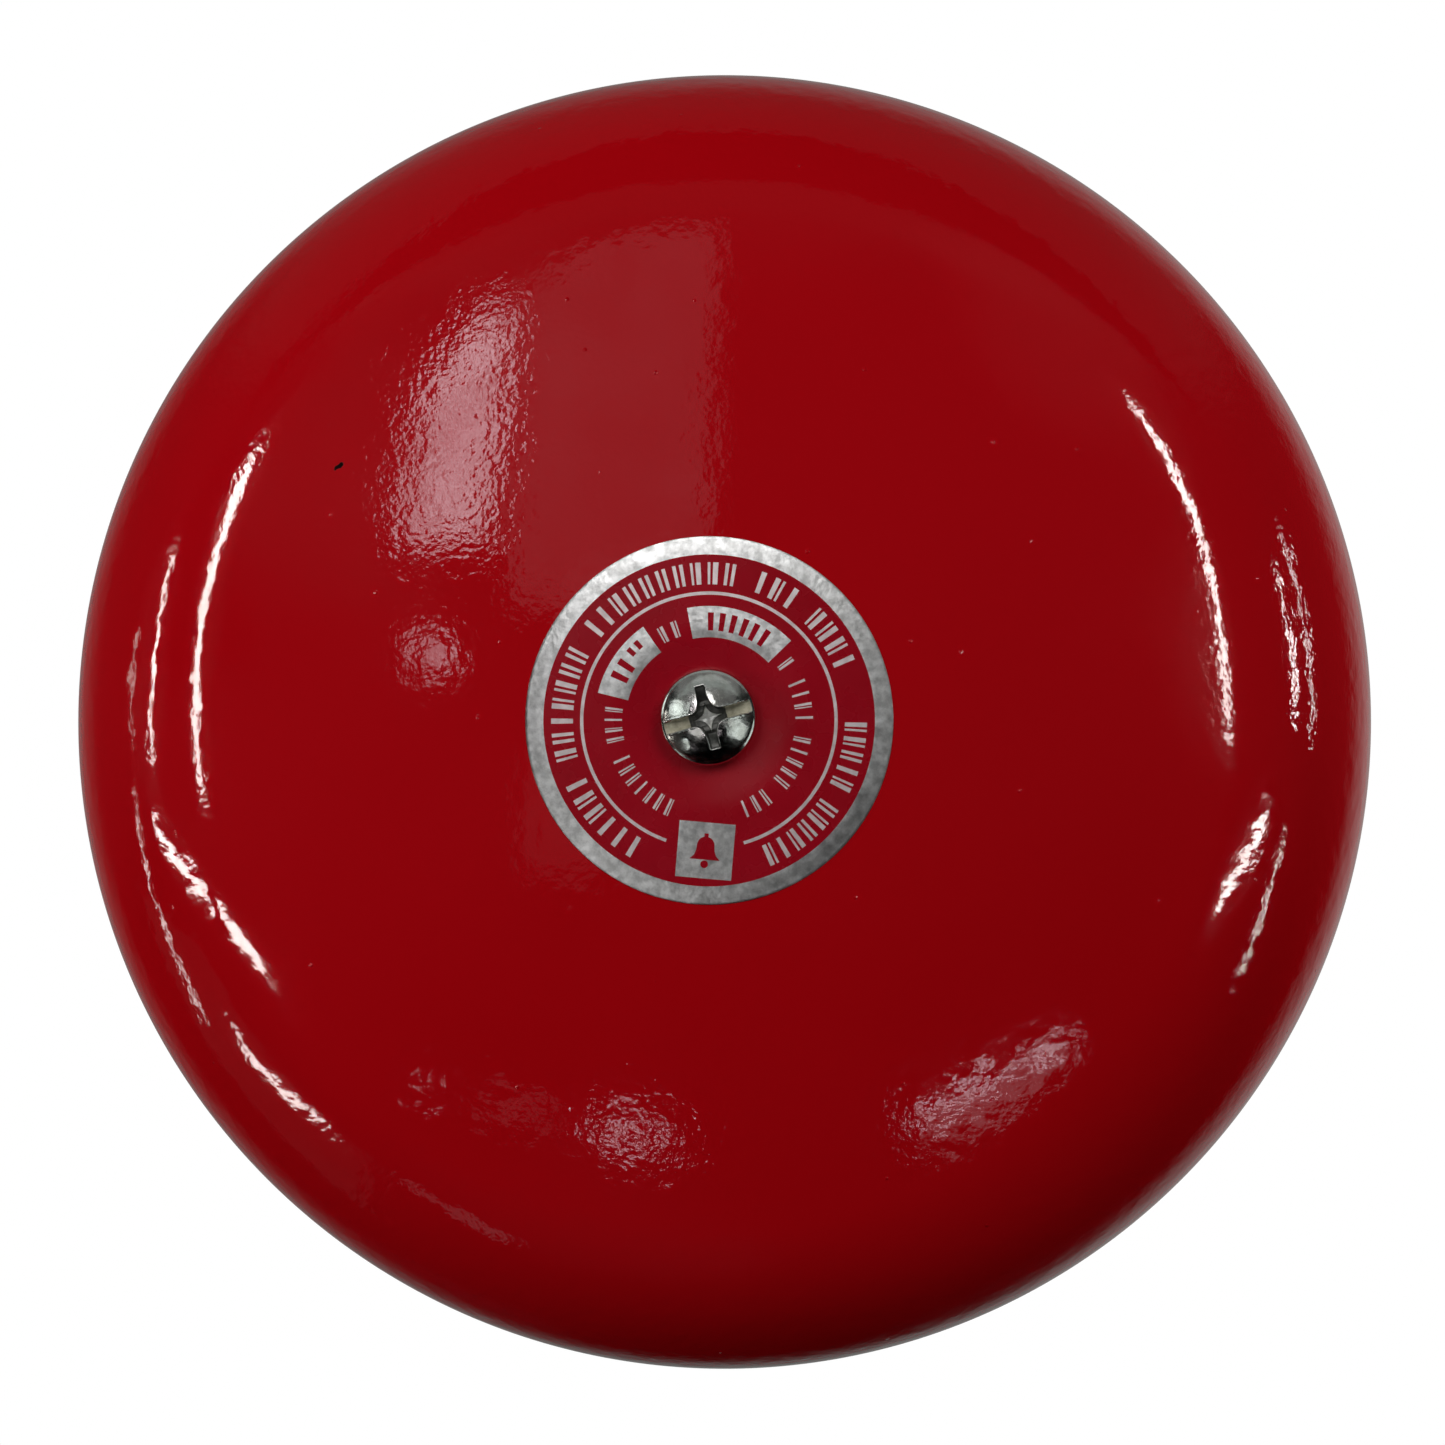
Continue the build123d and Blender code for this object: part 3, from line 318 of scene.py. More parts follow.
def foil_bare():
    s = Surface("foil_bare")
    crinkle = s.noise(1300.0, 2.0, 0.6)
    creases = s.noise(420.0, 2.0, 0.6, distort=0.3)
    brushed = s.noise(1600.0, 2.0, place=s.stretched(1.0, 1.0, 0.12))
    s.bump((crinkle, 3.2e-5), (creases, 2.2e-5), (brushed, 0.7e-5))
    tone = s.span(s.noise(1000.0, 3.0, 0.6), 0.35, 0.65)
    s.set(Base_Color=s.mix(tone, (0.60, 0.60, 0.585), (0.98, 0.98, 0.965)), Metallic=1.0,
          Roughness=s.span(s.noise(700.0, 2.0), 0.3, 0.7, 0.30, 0.44))
    return s.material


def foil_ink(name, dark, light):
    s = Surface(name)
    s.bump((s.noise(520.0, 2.0), 0.6e-5), (s.noise(1700.0, 2.0), 0.15e-5))
    s.set(Base_Color=s.mix(s.span(s.noise(120.0, 3.0), 0.3, 0.7), dark, light), IOR=1.48,
          Roughness=s.span(s.noise(400.0, 2.0), 0.3, 0.7, 0.22, 0.32))
    return s.material


def foil_print():
    """Foil left bare in thin lines, which looks pinkish beside the ink."""
    s = Surface("foil_print")
    s.bump((s.noise(1500.0, 2.0), 1.0e-5))
    tone = s.span(s.noise(900.0, 2.0), 0.3, 0.7)
    s.set(Base_Color=s.mix(tone, (0.60, 0.50, 0.50), (0.78, 0.68, 0.68)), Metallic=0.5, Roughness=0.42)
    return s.material


def nickel():
    s = Surface("nickel_plate")
    marks = s.noise(2600.0, 3.0, 0.6, place=s.stretched(1.0, 1.0, 0.25))
    dents = s.noise(900.0, 2.0, 0.5)
    s.bump((marks, 0.35e-5), (dents, 1.6e-5))
    tone = s.span(s.noise(700.0, 3.0), 0.35, 0.65)
    s.set(Base_Color=s.mix(tone, (0.60, 0.59, 0.55), (0.74, 0.73, 0.70)), Metallic=1.0,
          Roughness=s.span(s.noise(1200.0, 3.0), 0.3, 0.7, 0.12, 0.24))
    return s.material


def cut_metal(name, dark, light):
    """The dull, slightly brassy metal inside the screw's slot and recess; its darker and paler copies paint
    shade into the recess and light onto the star.
    """
    s = Surface(name)
    scrape = s.noise(2400.0, 3.0, 0.6)
    s.bump((scrape, 1.0e-5), (s.noise(800.0, 2.0), 2.0e-5))
    tone = s.span(s.noise(900.0, 3.0, 0.6), 0.35, 0.65)
    s.set(Base_Color=s.mix(tone, dark, light), Metallic=0.65,
          Roughness=s.span(scrape, 0.3, 0.7, 0.34, 0.52))
    return s.material


def metal(name, dark, light, rough, grain, height, streak=(1.0, 1.0, 1.0)):
    """Plain metal; rough is the range of its roughness, height the depth of its grain in metres."""
    s = Surface(name)
    grainy = s.noise(grain, 4.0, 0.6, place=s.stretched(*streak))
    s.bump((grainy, height), (s.noise(grain / 6, 2.0), height * 2))
    s.set(Base_Color=s.mix(s.span(s.noise(grain / 8, 4.0, 0.6), 0.3, 0.7), dark, light), Metallic=1.0,
          Roughness=s.span(grainy, 0.3, 0.7, rough[0], rough[1]))
    return s.material


def moulded(name, dark, light, rough, grain, height, sheen=0.0):
    """Plastic, rubber or fibre, with the same values as metal."""
    s = Surface(name)
    fine = s.noise(grain, 3.0, 0.6)
    s.bump((fine, height), (s.noise(grain / 12, 2.0), height * 2))
    s.set(Base_Color=s.mix(s.span(s.noise(grain / 25, 4.0, 0.6), 0.3, 0.7), dark, light), IOR=1.5,
          Roughness=s.span(fine, 0.3, 0.7, rough[0], rough[1]), Sheen_Weight=sheen)
    return s.material


def casting_enamel():
    """Grey stoved enamel over a die casting, slightly paler in soft stains."""
    s = Surface("casting_enamel")
    hammer = s.voronoi(520.0, "SMOOTH_F1")
    grain = s.noise(1400.0, 4.0, 0.6)
    s.bump((hammer, 1.6e-5), (grain, 0.8e-5), (s.noise(160.0, 2.0), 2.0e-5))
    stain = s.span(s.noise(55.0, 5.0, 0.65), 0.38, 0.68)
    grey = s.mix(s.span(hammer, 0.1, 0.8), (0.165, 0.170, 0.173), (0.205, 0.210, 0.213))
    s.set(Base_Color=s.mix(stain, grey, (0.225, 0.229, 0.228)), IOR=1.5,
          Roughness=s.span(grain, 0.3, 0.7, 0.30, 0.46))
    return s.material


def wound_copper():
    """Enamelled wire: bands across the coil's axis stand for the turns."""
    s = Surface("copper_winding")
    wave = s.node("ShaderNodeTexWave", wave_type="BANDS", bands_direction="Z")
    wave.inputs["Scale"].default_value = 900.0
    wave.inputs["Distortion"].default_value = 0.6
    s.link(s.place, wave.inputs["Vector"])
    s.bump((wave.outputs["Fac"], 6e-5))
    s.set(Base_Color=s.mix(wave.outputs["Fac"], (0.24, 0.075, 0.03), (0.62, 0.25, 0.11)), Metallic=0.8,
          Roughness=s.span(s.noise(600.0, 2.0), 0.3, 0.7, 0.22, 0.34), Coat_Weight=0.5)
    return s.material


def tape():
    s = Surface("tape")
    weave = s.noise(900.0, 2.0, place=s.stretched(0.3, 1.0, 1.0))
    s.bump((weave, 1.5e-5))
    s.set(Base_Color=s.mix(s.span(weave, 0.3, 0.7), (0.50, 0.33, 0.035), (0.66, 0.46, 0.07)), IOR=1.5,
          Roughness=s.span(s.noise(300.0, 2.0), 0.3, 0.7, 0.20, 0.32))
    return s.material


FINISH = {
    "nickel_screws": nickel(),
    "zinc_steel": metal("zinc_steel", (0.50, 0.53, 0.57), (0.68, 0.69, 0.68), (0.26, 0.40), 1600.0, 0.5e-5),
    "bright_steel": metal("bright_steel", (0.60, 0.60, 0.60), (0.74, 0.74, 0.73), (0.14, 0.24),
                          2200.0, 0.25e-5, streak=(1.0, 1.0, 0.15)),
    "casting_enamel": casting_enamel(),
    "rubber": moulded("rubber", (0.012, 0.012, 0.013), (0.028, 0.028, 0.029), (0.55, 0.72), 1500.0, 1.2e-5,
                      sheen=0.15),
    "brass": metal("brass", (0.55, 0.38, 0.13), (0.76, 0.57, 0.25), (0.20, 0.34), 1500.0, 0.4e-5),
    "black_moulding": moulded("black_moulding", (0.011, 0.011, 0.012), (0.022, 0.022, 0.023), (0.34, 0.48),
                              2000.0, 1.6e-5),
    "nylon": moulded("nylon", (0.66, 0.63, 0.55), (0.76, 0.73, 0.66), (0.34, 0.46), 1200.0, 0.6e-5),
    "terminal_moulding": moulded("terminal_moulding", (0.56, 0.53, 0.46), (0.66, 0.63, 0.56), (0.30, 0.44),
                                 1400.0, 0.8e-5),
    "lead_insulation": moulded("lead_insulation", (0.34, 0.012, 0.010), (0.42, 0.018, 0.014), (0.28, 0.40),
                               900.0, 0.6e-5),
    "copper_winding": wound_copper(),
    "tinned_tag": metal("tinned_tag", (0.58, 0.58, 0.56), (0.74, 0.74, 0.72), (0.28, 0.42), 1400.0, 0.6e-5),
    "tape": tape(),
    "fibre": moulded("fibre", (0.16, 0.035, 0.022), (0.24, 0.055, 0.034), (0.60, 0.75), 1800.0, 1.0e-5),
}

ENAMEL = gong_enamel()
FOIL_BARE = foil_bare()
INK = foil_ink("foil_ink", (0.44, 0.0030, 0.013), (0.49, 0.0042, 0.017))
PRINT = foil_print()
CUT_METAL = cut_metal("cut_metal", (0.28, 0.265, 0.19), (0.52, 0.49, 0.37))
# the star at the bottom of the recess gets this pale copy of the cut metal as painted light
STAR_LIT_METAL = cut_metal("star_painted_light", (0.62, 0.62, 0.59), (0.92, 0.92, 0.88))
# the recess's sides get this near-black copy of the cut metal as painted shade
RECESS_SHADE_METAL = cut_metal("recess_painted_shade", (0.035, 0.035, 0.03), (0.12, 0.12, 0.11))

# every CAD node gets the finish of its slot; the gong and the nameplate have pieces of their own below
for row in frame["record"]["subparts"]:
    node = NODES[row["node"]]
    finish = FINISH.get(row["material_slot"])
    if finish:
        node.data.materials.clear()
        node.data.materials.append(finish)


# ---- gong -----------------------------------------------------------------------------------------
GONG_WAVE = 0.022


def shoulder_point(angle, radius):
    return SHOULDER_R + radius * math.sin(angle), SHOULDER_OUT + radius * math.cos(angle)


def gong_profile():
    """Half section of the gong as (radius, out): over the front, round the lip and back along the inside."""
    inner_out = SEAT_OUT - WALL
    points = [(HOLE_R, inner_out + 0.2), (HOLE_R, SEAT_OUT - 0.2), (HOLE_R + 0.15, SEAT_OUT - 0.05)]
    points += [(HOLE_R + 0.4, SEAT_OUT)] + [(r, crown_out(r)) for r in spread(SEAT_FLAT, SEAT_RIM, 14)]
    shoulder_r = CROWN_RADIUS * math.sin(SHOULDER_START)
    points += [(r, crown_out(r)) for r in spread(SEAT_RIM, shoulder_r, 40)[1:]]
    points += [shoulder_point(a, SHOULDER_RADIUS) for a in spread(SHOULDER_START, SKIRT_START, 40)[1:]]
    half = WALL / 2
    points += [(r, out) for r, out in zip(spread(points[-1][0], LIP_R - 0.04, 8)[1:],
                                          spread(points[-1][1], LIP_OUT + half, 8)[1:])]
    for a in spread(0, 180, 9)[1:-1]:
        points.append((LIP_R - 0.04 - half + half * math.cos(math.radians(a)),
                       LIP_OUT + half - half * math.sin(math.radians(a))))
    inside = SHOULDER_RADIUS - WALL
    skirt_top = shoulder_point(SKIRT_START, inside)
    points += [(r, out) for r, out in zip(spread(LIP_R - 0.04 - WALL, skirt_top[0], 7),
                                          spread(LIP_OUT + half, skirt_top[1], 7))]
    points += [shoulder_point(a, inside) for a in spread(SKIRT_START, SHOULDER_START, 22)[1:]]
    inner_crown = CROWN_RADIUS - WALL
    for r in spread(points[-1][0], SEAT_RIM, 14)[1:]:
        points.append((r, CROWN_CENTRE + math.sqrt(inner_crown ** 2 - r * r)))
    crown = points[-1][1]
    flat = SEAT_FLAT - 0.8
    for r in spread(SEAT_RIM, flat, 9)[1:]:
        points.append((r, inner_out + (crown - inner_out) * smooth((r - flat) / (SEAT_RIM - flat))))
    points.append((HOLE_R + 0.2, inner_out))
    return points


def make_gong():
    """The gong, whose front isn't quite even, as pressed sheet never is."""
    gong = lathe("gong_shell", gong_profile(), 384)
    for vertex in gong.data.vertices:
        p = vertex.co
        r = math.hypot(p.x, p.z) / MM
        keep = smooth((r - 12) / 10) * smooth((74.3 - r) / 2)
        wave = noise.noise(p * 42.0) + 0.5 * noise.noise(p * 95.0 + Vector((3, 1, 7)))
        vertex.co = p + Vector((0, -1, 0)) * wave * keep * GONG_WAVE * MM
    return ready(gong, "bell", "gong_enamel", ENAMEL, "gong")


# ---- nameplate --------------------------------------------------------------------------------------
PRINT_STEP_R, PRINT_STEP_ROUND = 0.6, 0.35
INK_LIFT, PRINT_LIFT, OVERPRINT_LIFT, PICTOGRAM_LIFT = 0.015, 0.03, 0.045, 0.05
MARK_LOW, MARK_HIGH = 9.4, 11.3
TEXT_LOW, TEXT_HIGH = 14.75, 17.15


def foil_out(r):
    """Height of the nameplate's face, which thins to its rim."""
    return crown_out(r) + FOIL - 0.09 * smooth((r - INK_R - 0.3) / 1.6)


def foil_point(r, degrees, lift):
    return polar(r, degrees, foil_out(r) + lift)


def plate(name, rows, material, lift):
    """Printed patches on the nameplate, each (radius 0, radius 1, angle 0, angle 1) in mm and degrees."""
    verts, faces = [], []
    for r0, r1, a0, a1 in rows:
        across = max(2, int((r1 - r0) / PRINT_STEP_R) + 2)
        along = max(2, int(abs(a1 - a0) * math.radians(1) * r1 / PRINT_STEP_ROUND) + 2)
        first = len(verts)
        verts += [foil_point(r, a, lift) for r in spread(r0, r1, across) for a in spread(a0, a1, along)]
        for i in range(across - 1):
            for j in range(along - 1):
                k = first + i * along + j
                faces.append((k, k + 1, k + along + 1, k + along))
    piece = mesh_piece(name, verts, faces)
    face_out(piece)
    return ready(piece, "bell", "foil" if material is not INK else None, material)


def face_out(piece):
    """Turns every face of a flat print towards the front."""
    for face in piece.data.polygons:
        if face.normal.y > 0:
            face.flip()
    piece.data.update()


# plain upright bars, alone or in pairs, stand where lettering would be; each bar is (start, end, low, high)
# in parts of the mark's width and height
MARKS = (
    ((0.02, 0.32, 0.0, 1.0), (0.60, 0.90, 0.0, 1.0)),
    ((0.02, 0.24, 0.0, 1.0), (0.46, 0.90, 0.0, 1.0)),
    ((0.02, 0.46, 0.0, 1.0), (0.68, 0.90, 0.0, 1.0)),
    ((0.24, 0.68, 0.0, 1.0),),
)


WORD_SPACE = 0.9


def mark_rows(low, high, start, end, words, width, gap, seed):
    """Groups of marks along an arc, clockwise from start to end, as words of so many marks."""
    pick = random.Random(seed)
    rows = []
    units = sum(words) + WORD_SPACE * (len(words) - 1)
    step = (start - end) / units
    angle = start
    for count in words:
        for _ in range(count):
            a1, a0 = angle - step * gap / 2, angle - step * (1 - gap / 2)
            for x0, x1, y0, y1 in pick.choice(MARKS):
                rows.append((low + (high - low) * y0, low + (high - low) * y1,
                             a1 + (a0 - a1) * x0 * width, a1 + (a0 - a1) * x1 * width))
            angle -= step
        angle -= WORD_SPACE * step
    return rows


def make_nameplate():
    hole = [(FOIL_HOLE, crown_out(FOIL_HOLE))]
    top = [(r, foil_out(r)) for r in spread(FOIL_HOLE, FOIL_R - 0.03, 60)]
    edge = [(FOIL_R, foil_out(FOIL_R) - 0.02), (FOIL_R, crown_out(FOIL_R) + 0.01)]
    under = [(r, crown_out(r) + 0.004) for r in spread(FOIL_R - 0.2, FOIL_HOLE, 40)]
    foil = lathe("nameplate_foil_sheet", hole + top + edge + under, 180)
    ready(foil, "bell", "foil", FOIL_BARE, "nameplate_foil")

    plate("nameplate_ink", [(FOIL_HOLE + 0.05, INK_R, 90 * k, 90 * k + 90) for k in range(4)], INK, INK_LIFT)
    plate("nameplate_line", [(13.62, 13.98, -74, 250.5)], PRINT, PRINT_LIFT)
    plate("nameplate_blocks", [(9.0, 12.4, 125, 166), (9.0, 12.4, 44, 101)], FOIL_BARE, PRINT_LIFT)
    text = mark_rows(TEXT_LOW, TEXT_HIGH, 242, 20, (6, 7, 10, 3, 4), 0.92, 0.26, 11)
    text += mark_rows(TEXT_LOW, TEXT_HIGH, 0, -68.5, (5, 6), 0.92, 0.26, 5)
    plate("nameplate_marks_outer", text, PRINT, PRINT_LIFT)
    thin = mark_rows(MARK_LOW, MARK_HIGH, 248, 200, (7,), 0.7, 0.35, 3)
    thin += mark_rows(MARK_LOW, MARK_HIGH, 194, 170, (4,), 0.7, 0.35, 8)
    thin += mark_rows(9.6, 11.4, 121, 105, (2,), 0.7, 0.3, 4)
    thin += mark_rows(MARK_LOW, MARK_HIGH, 39, -72, (1, 4, 5, 3), 0.7, 0.35, 21)
    plate("nameplate_marks_inner", thin, PRINT, PRINT_LIFT)
    bars = [(9.75, 11.7, a + turn - 1.6, a + turn + 1.6) for a in (85.5, 72.5, 59.5) for turn in (-3.3, 3.3)]
    bars += [(9.75, 11.7, a - 1.8, a + 1.8) for a in (154, 146.5)]
    bars += [(10.7, 11.7, a - 1.4, a + 1.4) for a in (138.5, 133)]
    plate("nameplate_block_marks", bars, INK, OVERPRINT_LIFT)


# ---- pictogram: a small plain bell in the silver square ---------------------------------------------
# middle as (degrees, radius), side and turn
SQUARE_AT, SQUARE_SIDE, SQUARE_TURN = (268.5, 14.1), 6.1, -5.0


def square_point(x, y, lift):
    """A point of the square, mm from its middle, laid on the foil."""
    angle, distance = math.radians(SQUARE_AT[0]), SQUARE_AT[1]
    turn = math.radians(SQUARE_TURN)
    px = distance * math.cos(angle) + x * math.cos(turn) - y * math.sin(turn)
    py = distance * math.sin(angle) + x * math.sin(turn) + y * math.cos(turn)
    return at(px, py, foil_out(math.hypot(px, py)) + lift)


def flat_shape(name, outlines, material, slot, lift):
    """Filled outlines on the square, each a list of (x, y)."""
    verts, faces = [], []
    for outline in outlines:
        first = len(verts)
        verts += [square_point(x, y, lift) for x, y in outline]
        faces.append(tuple(range(first, len(verts))))
    piece = mesh_piece(name, verts, faces, smooth_shade=False)
    face_out(piece)
    return ready(piece, "bell", slot, material)


def round_shape(middle_y, radius, degrees):
    return [(radius * math.cos(math.radians(a)), middle_y + radius * math.sin(math.radians(a)))
            for a in degrees]


def make_square():
    half = SQUARE_SIDE / 2
    cells = spread(-half, half, 9)
    tiles = [[(x, y), (x + half / 4, y), (x + half / 4, y + half / 4), (x, y + half / 4)]
             for x in cells[:-1] for y in cells[:-1]]
    piece = flat_shape("nameplate_square", tiles, FOIL_BARE, "foil", PRINT_LIFT)
    weld(piece, 1e-7)
    dome = round_shape(0.55, 0.95, range(0, 181, 12))
    bell = dome + [(-1.0, 0.0), (-1.2, -0.55), (-1.65, -1.0), (1.65, -1.0), (1.2, -0.55), (1.0, 0.0)]
    clapper = round_shape(-1.5, 0.42, range(0, 360, 20))
    crown = [(-0.22, 1.4), (0.22, 1.4), (0.22, 1.85), (-0.22, 1.85)]
    flat_shape("nameplate_pictogram", [bell, clapper, crown], INK, None, PICTOGRAM_LIFT)


def weld(piece, distance):
    """Joins the tiles of a piece where their corners meet."""
    bm = bmesh.new()
    bm.from_mesh(piece.data)
    bmesh.ops.remove_doubles(bm, verts=bm.verts, dist=distance)
    bm.to_mesh(piece.data)
    bm.free()


# ---- centre screw -----------------------------------------------------------------------------------
HEAD_R, HEAD_TOP, HEAD_EDGE, HEAD_SEAT = 5.25, 60.12, 57.25, SEAT_OUT + FOIL
HEAD_SPHERE, CAP_R = 6.7, 4.93
SLOT_HALF, SLOT_FLOOR = 0.66, 58.02
CROSS_REACH, CROSS_FLOOR = 3.45, 57.5
ARM_HALF, ARM_FLARE, FLARE_REACH = 0.50, 0.95, 1.15
STAR_SIZE, STAR_DEPTH, STAR_RIM = 1.16, 0.34, 0.42
BURR_OFF, BURR_WIDTH, BURR_HEIGHT = 0.10, 0.08, 0.06
SLOT_TILT = math.radians(15)
SHANK_R, SHANK_END, THREAD_PITCH, THREAD_DEPTH = 2.95, 44.0, 0.5, 0.22
SCREW_AT = (-0.02, 0.33)
# which metal a face of the head shows; the recess's is painted shade, the star's painted light
PLATED, SLOT_SHOWS, RECESS_SHADE_SHOWS, STAR_LIT_SHOWS = range(4)


def head_dome(r):
    cap = HEAD_TOP - HEAD_SPHERE + math.sqrt(HEAD_SPHERE ** 2 - min(r, CAP_R) ** 2)
    if r <= CAP_R:
        return cap
    return HEAD_EDGE + (cap - HEAD_EDGE) * math.sqrt(max(0.0, 1 - ((r - CAP_R) / (HEAD_R - CAP_R)) ** 2))


def head_out(r, degrees):
    """Height over the wall of the screw's head, a dome cut by a slot and a cross recess, and which metal
    shows there: the plating, the slot's floor, the recess's sides, darkened as painted shade, or the star at
    its bottom, paled as painted light."""
    a = math.radians(degrees)
    x, y = r * math.cos(a), r * math.sin(a)
    u = x * math.cos(SLOT_TILT) + y * math.sin(SLOT_TILT)
    v = y * math.cos(SLOT_TILT) - x * math.sin(SLOT_TILT)
    ragged = 0.04 * noise.noise(Vector((x * 2.1, y * 2.1, 1.7)))
    ragged += 0.016 * noise.noise(Vector((x * 7, y * 7, 4)))
    dome = head_dome(r) + 0.3 * ragged
    cut = smooth((SLOT_HALF + ragged - abs(v)) / 0.09)
    out = dome + (min(dome, SLOT_FLOOR + 0.2 * ragged) - dome) * cut
    shows = SLOT_SHOWS if cut > 0.8 and dome - out > 0.05 else PLATED
    along, across = max(abs(u), abs(v)), min(abs(u), abs(v))
    arm = ARM_HALF + ARM_FLARE * math.exp(-((along / FLARE_REACH) ** 2)) + ragged
    if along < CROSS_REACH + 0.3:
        star = (math.sqrt(abs(u)) + math.sqrt(abs(v))) * 0.87
        deep = CROSS_FLOOR + 1.25 * smooth((along - 0.9) / (CROSS_REACH - 0.9))
        deep += STAR_RIM * smooth((star - 1.10 + ragged) / 0.16) * smooth((1.9 - along) / 0.6)
        cut = smooth((arm + 0.07 - across) / 0.15) * smooth((CROSS_REACH + 0.1 + ragged - along) / 0.2)
        deep -= STAR_DEPTH * max(0.0, STAR_SIZE - star) / STAR_SIZE
        # inside the cross the star's faces take the pale metal as painted light, the other faces the
        # near-black one as painted shade
        if cut > 0.5 and deep < out:
            shows = STAR_LIT_SHOWS if star < STAR_SIZE + ragged else RECESS_SHADE_SHOWS
        out = min(out, out + (min(out, deep) - out) * cut)
    burr = math.exp(-(((abs(v) - SLOT_HALF - BURR_OFF) / BURR_WIDTH) ** 2)) * BURR_HEIGHT
    return out + burr * (0.5 + noise.noise(Vector((x * 3, y * 3, 9)))) * smooth((HEAD_R - r) / 0.6), shows


def make_gong_screw():
    """The head on a fine grid, so that its cuts are real, over a shank with ridges for a thread."""
    segments = 320
    rings = spread(0.0, 4.9, 92)[1:] + [4.97, 5.04, 5.10, 5.15, 5.19, 5.22, 5.24, HEAD_R]
    profile = [(r, None) for r in rings]
    profile += [(HEAD_R, HEAD_SEAT + 0.25), (HEAD_R - 0.12, HEAD_SEAT + 0.06), (HEAD_R - 0.35, HEAD_SEAT),
                (SHANK_R + 0.15, HEAD_SEAT), (SHANK_R, HEAD_SEAT - 0.15)]
    for k in range(int((HEAD_SEAT - SHANK_END - 1.2) / THREAD_PITCH)):
        out = HEAD_SEAT - 0.6 - THREAD_PITCH * k
        profile += [(SHANK_R, out), (SHANK_R - THREAD_DEPTH, out - THREAD_PITCH / 2)]
    profile += [(SHANK_R - 0.1, SHANK_END + 0.5), (SHANK_R - 0.6, SHANK_END), (0.4, SHANK_END)]
    moved = at(*SCREW_AT, 0)
    verts, metals = [at(0, 0, head_out(0, 0)[0]) + moved], [STAR_LIT_SHOWS]
    for r, out in profile:
        for s in range(segments):
            degrees = 360 * s / segments
            level, shows = head_out(r, degrees) if out is None else (out, PLATED)
            verts.append(polar(r, degrees, level) + moved)
            metals.append(shows)
    faces = ring_faces(len(profile), segments)
    last = 1 + (len(profile) - 1) * segments
    faces.append(tuple(range(last, last + segments)))
    screw = mesh_piece("gong_screw_cut", verts, faces)
    ready(screw, "bell", "nickel_screws", FINISH["nickel_screws"], "gong_screw")
    for material in (CUT_METAL, RECESS_SHADE_METAL, STAR_LIT_METAL):
        screw.data.materials.append(material)
    for face in screw.data.polygons:
        face.material_index = metals[face.vertices[0]]


# ---- return spring ----------------------------------------------------------------------------------
WIRE_SIDES, STEPS_A_TURN = 12, 40


def make_return_spring():
    """The striker's wire spring: a coil that fills the CAD spring's box, on a mesh of its own."""
    low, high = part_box("return_spring")
    middle_x, middle_y = (low[0] + high[0]) / 2, (low[1] + high[1]) / 2
    start, end = low[2] + WIRE_R * MM, high[2] - WIRE_R * MM
    around, steps = WIRE_SIDES, SPRING_TURNS * STEPS_A_TURN
    verts, faces = [], []
    for k in range(steps + 1):
        turn = 2 * math.pi * SPRING_TURNS * k / steps
        for j in range(around):
            a = 2 * math.pi * j / around
            r = (SPRING_R + WIRE_R * math.cos(a)) * MM
            verts.append(Vector((middle_x + r * math.cos(turn), middle_y + r * math.sin(turn),
                                 start + (end - start) * k / steps + WIRE_R * MM * math.sin(a))))
    for k in range(steps):
        a, b = k * around, (k + 1) * around
        faces += [(a + j, b + j, b + (j + 1) % around, a + (j + 1) % around) for j in range(around)]
    faces += [tuple(range(around)), tuple(range(steps * around, (steps + 1) * around))[::-1]]
    spring = mesh_piece("return_spring_coil", verts, faces)
    ready(spring, "bell", "bright_steel", FINISH["bright_steel"], "return_spring")
    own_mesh(spring)


make_gong()
make_return_spring()
make_nameplate()
make_square()
make_gong_screw()


# ---- floor, light and camera ------------------------------------------------------------------------
# strengths from which a card counts as not dim, leaves out the nameplate, and leaves out the screw too
NOT_DIM, BRIGHT, BRIGHTEST = 1, 3, 10
CARD_DISTANCE, DIM_CARD_DISTANCE, SCREW_CARD_DISTANCE = 1.25, 1.6, 2.0
CROWN_EDGE = 56.0


def heading(azimuth, elevation):
    """Unit vector: azimuth from straight out of the wall towards +X, elevation upwards, in degrees."""
    a, e = math.radians(azimuth), math.radians(elevation)
    return Vector((math.sin(a) * math.cos(e), -math.cos(a) * math.cos(e), math.sin(e)))


def glow(name, strength, tint, low, high, grain):
    """An emitter whose brightness changes over its face, between low and high times its strength."""
    material = bpy.data.materials.new(name)
    material.use_nodes = True
    tree = material.node_tree
    tree.nodes.clear()
    place = add_node(tree, "ShaderNodeTexCoord")
    cloud = add_node(tree, "ShaderNodeTexNoise")
    cloud.inputs["Scale"].default_value = grain
    cloud.inputs["Detail"].default_value = 2.0
    tree.links.new(place.outputs["Object"], cloud.inputs["Vector"])
    light = add_node(tree, "ShaderNodeEmission")
    light.inputs["Color"].default_value = (*tint, 1.0)
    level = map_range(tree, cloud.outputs["Fac"], 0.38, 0.62, strength * low, strength * high)
    tree.links.new(level, light.inputs["Strength"])
    output = add_node(tree, "ShaderNodeOutputMaterial")
    tree.links.new(light.outputs[0], output.inputs["Surface"])
    return material


def card_distance(name, strength):
    """Dim cards and the screw's own stand farther off, so that they don't hide the bright ones."""
    if name.startswith("screw"):
        return SCREW_CARD_DISTANCE
    return DIM_CARD_DISTANCE if strength < NOT_DIM else CARD_DISTANCE


